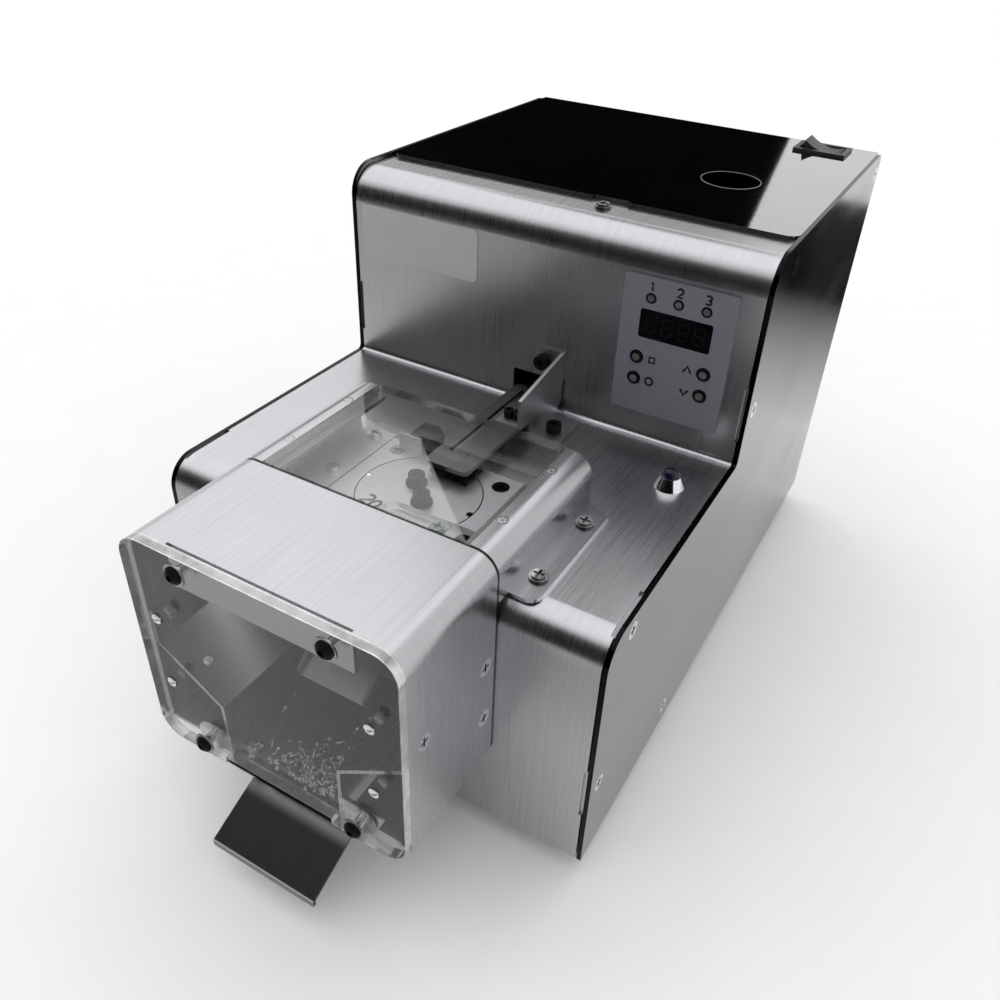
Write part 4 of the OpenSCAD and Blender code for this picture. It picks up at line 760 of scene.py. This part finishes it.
PANEL_Y = PANEL_LOW[1]
PANEL_X = (PANEL_LOW[0] + PANEL_HIGH[0]) / 2
INK, ARROW_INK, INK_HIGH = 0.7, 0.8, 0.06
DIGIT_W, DIGIT_H, DIGIT_UP = 1.8, 2.9, 4.0
MARK_R, MARK_OUT = 1.35, 5.6
LED_LOW, LED_HIGH = node_box("status_leds")
LED_Z = (LED_LOW[2] + LED_HIGH[2]) / 2
LED_R = (LED_HIGH[2] - LED_LOW[2]) / 2
LED_X = [LED_LOW[0] + LED_R, PANEL_X, LED_HIGH[0] - LED_R]
KEYS = {"set_button": "set_key", "ok_button": "ok_key", "up_button": "up_key", "down_button": "down_key"}
KEY_AT = {node: sum(node_box(node)) / 2 for node in KEYS}


def digit(number, w, h):
    """The path of a plain number about its centre: an oval, straight lines, or arcs one after another."""
    shapes = {
        0: arc((0, 0), (w / 2, h / 2), 90, 450, 30)[:-1],
        1: np.array([(-w * 0.3, h * 0.28), (w * 0.05, h / 2), (w * 0.05, -h / 2)]),
        2: np.concatenate([arc((0, h / 2 - w / 2), w / 2, 165, -40), [(-w / 2, -h / 2), (w / 2, -h / 2)]]),
        3: np.concatenate([arc((0, h / 4), (w / 2, h / 4), 150, -80),
                           arc((0, -h / 4), (w / 2, h / 4), 80, -150)]),
    }
    return shapes[number]


def arrow(size, way):
    """The path of an open arrow head: two feet and a point between them, up or down."""
    return np.array([(-size, -size * way * 0.6), (0, size * way), (size, -size * way * 0.6)])


def panel_ink(path, x, z, width=INK, closed=False):
    """A line of ink on the panel, along a path drawn about a place."""
    return on_front(stroke(path, width, INK_HIGH, closed), (x, PANEL_Y, z))


marks = [panel_ink(digit(number, DIGIT_W, DIGIT_H), x, LED_Z + DIGIT_UP)
         for number, x in zip((1, 2, 3), LED_X)]
for node, way in (("up_button", 1), ("down_button", -1)):
    marks.append(panel_ink(arrow(MARK_R, way), KEY_AT[node][0] - MARK_OUT, KEY_AT[node][2], ARROW_INK))
for node, corners in (("set_button", 4), ("ok_button", 23)):
    outline = arc((0, 0), MARK_R, 45, 405, corners + 1)[:-1]
    marks.append(panel_ink(outline, KEY_AT[node][0] + MARK_OUT, KEY_AT[node][2], closed=True))
make("panel_marks", joined(marks), "machine", "mark_ink", smooth=False)


# Display: unlit figures of seven bars

SHOW_LOW, SHOW_HIGH = node_box("display_window")
FIGURES, FIGURE_W, FIGURE_H, FIGURE_PITCH, FIGURE_LEAN = 4, 3.3, 5.8, 5.6, 0.1
BAR, BAR_GAP, BAR_HIGH = 0.75, 0.35, 0.04


def seven_bars(w, h):
    """The seven bars of one figure, each a short straight line that keeps a gap to the corners."""
    x, y, g = w / 2, h / 2, BAR_GAP
    ends = [((-x + g, y), (x - g, y)), ((-x + g, 0), (x - g, 0)), ((-x + g, -y), (x - g, -y)),
            ((-x, g), (-x, y - g)), ((x, g), (x, y - g)), ((-x, -y + g), (-x, -g)), ((x, -y + g), (x, -g))]
    return [stroke(e, BAR, BAR_HIGH) for e in ends]


bars = []
for i in range(FIGURES):
    at = (PANEL_X + (i - (FIGURES - 1) / 2) * FIGURE_PITCH, SHOW_LOW[1], (SHOW_LOW[2] + SHOW_HIGH[2]) / 2)
    bars += [set_in(bar, at, (1, 0, 0), (FIGURE_LEAN, 0, 1)) for bar in seven_bars(FIGURE_W, FIGURE_H)]
make("display_bars", joined(bars), "machine", "segment_grey", smooth=False)


# Lamps and keys: a dark collar round each, and a domed cap on each

# A key's flange behind the panel is wider than its face
KEY_FLANGE = 0.7
KEY_R = (node_box("set_button")[1][0] - node_box("set_button")[0][0]) / 2 - KEY_FLANGE
# Collars as (start, end, rise) outside the edge of a lamp or key, caps as (distance inside the edge, rise)
LED_COLLAR, KEY_COLLAR = (0.1, 0.35, 0.15), (0.15, 0.35, 0.1)
LED_CAP, KEY_CAP = (0.35, 0.3), (0.8, 0.2)

collars = [on_front(collar(LED_R, *LED_COLLAR), (x, PANEL_Y, LED_Z)) for x in LED_X]
collars += [on_front(collar(KEY_R, *KEY_COLLAR), (at[0], PANEL_Y, at[2])) for at in KEY_AT.values()]
make("panel_collars", joined(collars), "machine", "black_oxide")
lenses = [on_front(cap(LED_R - LED_CAP[0], LED_CAP[1]), (x, LED_LOW[1], LED_Z)) for x in LED_X]
make("lamp_lenses", joined(lenses), "machine", "lamp_lens")
for node, body in KEYS.items():
    face_y = node_box(node)[0][1]
    dome = on_front(cap(KEY_R - KEY_CAP[0], KEY_CAP[1]), (KEY_AT[node][0], face_y, KEY_AT[node][2]))
    make(node + "_cap", dome, body, "key_grey")


# Disc: its size number and the screw at its rim

DISC_TOP = DISC_HIGH[2]
NUMBER_AT, NUMBER_WAY = np.array([-9.7, -80.4]), unit([4.0, -1.6])
NUMBER_W, NUMBER_H, NUMBER_HALF_PITCH = 2.6, 4.6, 1.85
ENGRAVED, ENGRAVED_HIGH = 0.95, 0.05
number = []
for figure, step in ((2, -NUMBER_HALF_PITCH), (0, NUMBER_HALF_PITCH)):
    spot = NUMBER_AT + NUMBER_WAY * step
    line = stroke(digit(figure, NUMBER_W, NUMBER_H), ENGRAVED, ENGRAVED_HIGH, closed=figure == 0)
    number.append(on_top(line, (*spot, DISC_TOP), NUMBER_WAY))
make("disc_number", joined(number), "index", "engraved", smooth=False)

# A small screw: point, shank and domed head, standing on its tip
SCREW_HEAD, SCREW_SHANK, SCREW_LONG, SCREW_DOME = 1.35, 0.7, 4.2, 1.05
SCREW_TIP, SCREW_POINT_LONG = (0.3, 0.1), 0.7


def small_screw(size):
    """A screw's profile carried round its axis, made larger or smaller by a share."""
    profile = [(0, 0), SCREW_TIP, (SCREW_SHANK, SCREW_POINT_LONG), (SCREW_SHANK, SCREW_LONG),
               (SCREW_HEAD, SCREW_LONG), (SCREW_HEAD * 0.92, SCREW_LONG + 0.55),
               (SCREW_HEAD * 0.5, SCREW_LONG + 0.95), (0, SCREW_LONG + SCREW_DOME)]
    return turned(np.array(profile) * size, sides=10)


# The rim screw's head stands low enough to pass under the guard
RIM_SCREW_AT, HEAD_PROUD = (-19.4, -68.7), 0.35
RIM_SCREW_LOW = DISC_TOP + HEAD_PROUD - SCREW_LONG - SCREW_DOME
caught = on_top(small_screw(1.0), (*RIM_SCREW_AT, RIM_SCREW_LOW))
make("caught_screw", caught, "index", "bright_plate")


# Goods: small screws strewn on the gate's floor along the window, a few further back

# The gate's floor: its front edge and its rise with each millimetre to the back
GATE_FRONT_Y, GATE_FRONT_Z, GATE_SLOPE = -143.1, 39.7, 0.2511
HEAP, HEAP_SIZE = 150, 0.62
HEAP_LEFT, HEAP_RIGHT, HEAP_SPREAD = -14.5, 17.0, 13.0
# Where the heap starts, how deep it is at its left end and how much deeper with each millimetre to the right
HEAP_FROM_Y, HEAP_DEEP, HEAP_DEEPER = WINDOW_HIGH[1] + 1.8, 2.2, 0.24
# Least height of a screw over the floor, rise of the heap at the window and the depth over which it falls
HEAP_LIFT, HEAP_RISE, HEAP_FALL = 0.85, 1.7, 4
HEAP_TILT = 0.3
STRAYS = [(-16.5, -117.0), (-15.0, -123.0), (12.0, -112.0)]
heap_x = np.clip(HEAP_RIGHT - np.abs(RNG.normal(0, HEAP_SPREAD, HEAP)), HEAP_LEFT, HEAP_RIGHT)
heap_y = HEAP_FROM_Y + np.abs(RNG.normal(0, 1.0, HEAP)) * (HEAP_DEEP + HEAP_DEEPER * (heap_x - HEAP_LEFT))
heap_lift = HEAP_LIFT + HEAP_RISE * RNG.random(HEAP) * np.exp(-(heap_y - HEAP_FROM_Y) / HEAP_FALL)
heap_x = np.concatenate([heap_x, [x for x, y in STRAYS]])
heap_y = np.concatenate([heap_y, [y for x, y in STRAYS]])
heap_lift = np.concatenate([heap_lift, np.full(len(STRAYS), HEAP_LIFT)])
heap_at = np.stack([heap_x, heap_y, GATE_FRONT_Z + GATE_SLOPE * (heap_y - GATE_FRONT_Y) + heap_lift], -1)
heap_way = np.stack([RNG.normal(0, 1, len(heap_x)), RNG.normal(0, 1, len(heap_x)),
                     RNG.normal(0, HEAP_TILT, len(heap_x))], -1)
heap_screw, heap_faces = small_screw(HEAP_SIZE)
about_middle = (heap_screw - [0, 0, HEAP_SIZE * SCREW_LONG / 2], heap_faces)
make("screw_heap", copies(about_middle, turn_to(heap_way), heap_at), "gate", "heap_steel")


# Brush: stiff bristles in two rows under the hold-down plate

BRUSH_LOW, BRUSH_HIGH = node_box("brush")
BRISTLE_DEEP, BRISTLE_STRAY, BRISTLE_SHORTEST = 3.0, 0.09, 0.9
BRISTLE_ROOT, BRISTLE_TIP = 0.1, 0.14
FRONT_BRISTLES, SIDE_BRISTLES = 420, 700
bristle = turned([(0, 0), (BRISTLE_ROOT, 0), (BRISTLE_TIP, 1), (0, 1)], sides=5)


def bristle_row(x, y, count):
    """Roots over a strip and ways that hang down with a little stray."""
    at = np.stack([RNG.uniform(*x, count), RNG.uniform(*y, count), np.full(count, BRUSH_HIGH[2])], -1)
    fall = np.stack([RNG.normal(0, BRISTLE_STRAY, count), RNG.normal(0, BRISTLE_STRAY, count),
                     np.full(count, -1.0)], -1)
    return at, fall * (BRUSH_HIGH[2] - BRUSH_LOW[2]) * RNG.uniform(BRISTLE_SHORTEST, 1.0, count)[:, None]


front_at, front_fall = bristle_row((BRUSH_LOW[0], BRUSH_HIGH[0]),
                                   (BRUSH_LOW[1], BRUSH_LOW[1] + BRISTLE_DEEP), FRONT_BRISTLES)
side_at, side_fall = bristle_row((BRUSH_HIGH[0] - BRISTLE_DEEP, BRUSH_HIGH[0]),
                                 (BRUSH_LOW[1], BRUSH_HIGH[1]), SIDE_BRISTLES)
roots, falls = np.concatenate([front_at, side_at]), np.concatenate([front_fall, side_fall])
turns = turn_to(falls) * np.stack([np.ones(len(falls)), np.ones(len(falls)),
                                   np.linalg.norm(falls, axis=1)], -1)[:, None, :]
brush = make("brush_bristles", copies(bristle, turns, roots), "machine", "bristle")
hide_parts("brush")


# Fittings: flush screws in the cover's strips, slotted screws in the window, the rim of the cover's port

STRIP_TOP = node_box("disc_cover")[1][2]
STRIP_AT = [(x, y, STRIP_TOP) for x in (-38.4, 38.4) for y in (-83.0, -53.8)]
STRIP_SCREW_R, STRIP_SCREW_WAY = 1.5, (0.8, 0.6)
strip_head = cross_head(STRIP_SCREW_R, rise=0.06, depth=0.3, arm=0.28, low=-0.6)
strip_ring = collar(STRIP_SCREW_R, start=0, end=0.14, rise=0.02)
flush = [on_top(strip_head, at, STRIP_SCREW_WAY) for at in STRIP_AT]
make("strip_screws", joined(flush), "machine", "brushed_sheet")
grooves = [on_top(strip_ring, at) for at in STRIP_AT]
make("strip_screw_rings", joined(grooves), "machine", "mark_ink")

FIXING_X, FIXING_Z, FIXING_WAY = 36.7, (65.2, 90.4), (0.9, 0.45)
SLOTTED_R, SLOT_HALF, SLOT_DEEP = 1.75, 0.3, 0.45
WINDOW_HEAD_RISE, SLOPE_HEAD_RISE = 0.8, 0.9
NUT_R, NUT_LONG, STUD_R, STUD_LONG = 1.7, 1.3, 0.85, 2.6
window_head = slotted_head(SLOTTED_R, WINDOW_HEAD_RISE, SLOT_HALF, SLOT_DEEP)
nut = turned([(0, 0), (NUT_R, 0), (NUT_R, NUT_LONG), (STUD_R, NUT_LONG), (STUD_R, STUD_LONG),
              (0, STUD_LONG)], sides=6)
fixings = []
for x in (-FIXING_X, FIXING_X):
    for z in FIXING_Z:
        fixings.append(on_front(window_head, (x, WINDOW_LOW[1], z), FIXING_WAY))
        fixings.append(set_in(nut, (x, WINDOW_HIGH[1], z), (-1, 0, 0), UP))
make("window_fixings", joined(fixings), "machine", "head_front")

SLOPE_AT, SLOPE_WAY = (-31.9, -133.5, 67.2), (0.83, 0, -0.55)
slope_head = slotted_head(SLOTTED_R, SLOPE_HEAD_RISE, SLOT_HALF, SLOT_DEEP)
make("slope_screw", set_in(slope_head, SLOPE_AT, SLOPE_WAY, BACK), "machine", "head_slope")

COVER_TOP = node_box("top_cover")[1][2]
PORT_AT, PORT_R = (40.5, 76.5), 11.0
rim = on_top(collar(PORT_R, start=-0.2, end=0.15, rise=0.08), (*PORT_AT, COVER_TOP))
make("port_rim", rim, "machine", "mill_sheet")


# Stage: pale floor, soft light, dark flags out of view, and the camera

FLOOR_HALF, FLOOR_Z = 9000, -0.05
FADE_FROM_Y, FADE_TO_Y = 230, 430
PAPER, CARD, CLOTH = shade(0.93), shade(0.58), shade(0.003)


def stage_plate(name, corners, finish):
    """A flat four-cornered stage piece from its corners in millimetres."""
    mesh = bpy.data.meshes.new(name)
    mesh.from_pydata((np.asarray(corners, float) * MM).tolist(), [], [(0, 1, 2, 3)])
    mesh.materials.append(FINISH[finish])
    piece = bpy.data.objects.new(name, mesh)
    bpy.context.scene.collection.objects.link(piece)
    return piece


def fading_cloth():
    """Dark cloth that pales towards the machine, where it meets the floor."""
    tree, shader = begin("fading_cloth", CLOTH, metal=0.0, rough=0.95, Specular_IOR_Level=0.0)
    fade = along(tree, "Y", FADE_FROM_Y, FADE_TO_Y)
    tree.links.new(tint(tree, fade, (0.0, shade(0.85)), (1.0, CLOTH)), shader.inputs["Base Color"])


flecked("floor_paper", PAPER, rough=0.9, scale=40, depth=0.0, change=0.01, Specular_IOR_Level=0.0)
flecked("flag_cloth", CLOTH, rough=0.95, scale=60, depth=0.0, change=0.2, Specular_IOR_Level=0.0)
flecked("grey_card", CARD, rough=0.95, scale=60, depth=0.0, change=0.02, Specular_IOR_Level=0.0)
fading_cloth()

stage_plate("floor", [(x * FLOOR_HALF, y * FLOOR_HALF, FLOOR_Z)
                      for x, y in ((-1, -1), (1, -1), (1, 1), (-1, 1))], "floor_paper")
FLAGS = {
    "flag_behind": ("flag_cloth", [(-1500, 888, 150), (-77, 888, 150), (-168, 888, 520), (-1500, 888, 520)]),
    "flag_front": ("flag_cloth", [(-1600, -450, 15), (900, -450, 15), (900, -1000, 1150),
                                  (-1600, -1000, 1150)]),
    "flag_high": ("flag_cloth", [(-716, 888, 760), (-150, 888, 760), (-150, 888, 1180), (-497, 888, 1180)]),
    "flag_low": ("fading_cloth", [(90, FADE_FROM_Y, 2), (300, FADE_FROM_Y, 2), (455, 690, 2), (90, 690, 2)]),
    "card_near": ("grey_card", [(-400, -440, 1.5), (260, -440, 1.5), (260, -155, 1.5), (-400, -155, 1.5)]),
}
for name, (finish, corners) in FLAGS.items():
    flag = stage_plate(name, corners, finish)
    flag.visible_camera = False
    flag.visible_diffuse = False
    flag.visible_shadow = False


def white_air(fill):
    """White air: full where it is seen, mirrored or seen through glass, and elsewhere a weaker fill."""
    world = bpy.data.worlds.new("studio")
    world.use_nodes = True
    tree = world.node_tree
    ray = tree.nodes.new("ShaderNodeLightPath")
    seen = reckon(tree, "MAXIMUM", ray.outputs["Is Camera Ray"], ray.outputs["Is Glossy Ray"])
    seen = reckon(tree, "MAXIMUM", seen, ray.outputs["Is Transmission Ray"])
    background = tree.nodes["Background"]
    background.inputs["Color"].default_value = (1, 1, 1, 1)
    tree.links.new(level(tree, seen, fill, 1.0, 0, 1), background.inputs["Strength"])
    return world


def stand_on(x_way, y_way, z_way):
    """A matrix that turns the three axes onto three ways."""
    return Matrix(np.column_stack([x_way, y_way, z_way]).tolist()).to_4x4()


bpy.context.scene.world = white_air(fill=0.86)

CEILING_POWER, CEILING_WIDE = 0.8, math.radians(90)
CEILING_FROM = unit([-0.35, 0.3, 0.9])
lamp = bpy.data.lights.new("ceiling", "SUN")
lamp.energy = CEILING_POWER
lamp.angle = CEILING_WIDE
ceiling = bpy.data.objects.new("ceiling", lamp)
bpy.context.scene.collection.objects.link(ceiling)
ceiling_side = unit(np.cross(BACK, CEILING_FROM))
ceiling.matrix_world = stand_on(ceiling_side, np.cross(CEILING_FROM, ceiling_side), CEILING_FROM)

AZIMUTH, ELEVATION, ROLL = math.radians(28.14), math.radians(34.80), math.radians(2.92)
EYE = (134.2, -258.1, 268.7)
SENSOR, LENS = 36, 32.43
SHIFT_X, SHIFT_Y = -0.0115, -0.017
CLIP_NEAR, CLIP_FAR = 0.01, 60
level_way = np.array([math.cos(AZIMUTH), math.sin(AZIMUTH), 0])
behind = np.array([math.sin(AZIMUTH) * math.cos(ELEVATION), -math.cos(AZIMUTH) * math.cos(ELEVATION),
                   math.sin(ELEVATION)])
steep_way = np.cross(behind, level_way)
right = math.cos(ROLL) * level_way + math.sin(ROLL) * steep_way
over = -math.sin(ROLL) * level_way + math.cos(ROLL) * steep_way
lens = bpy.data.cameras.new("camera")
lens.sensor_width = SENSOR
lens.lens = LENS
lens.shift_x = SHIFT_X
lens.shift_y = SHIFT_Y
lens.clip_start = CLIP_NEAR
lens.clip_end = CLIP_FAR
camera = bpy.data.objects.new("camera", lens)
bpy.context.scene.collection.objects.link(camera)
stand = stand_on(right, over, behind)
stand.translation = [c * MM for c in EYE]
camera.matrix_world = stand
bpy.context.scene.camera = camera
bpy.context.scene.view_settings.view_transform = "Standard"
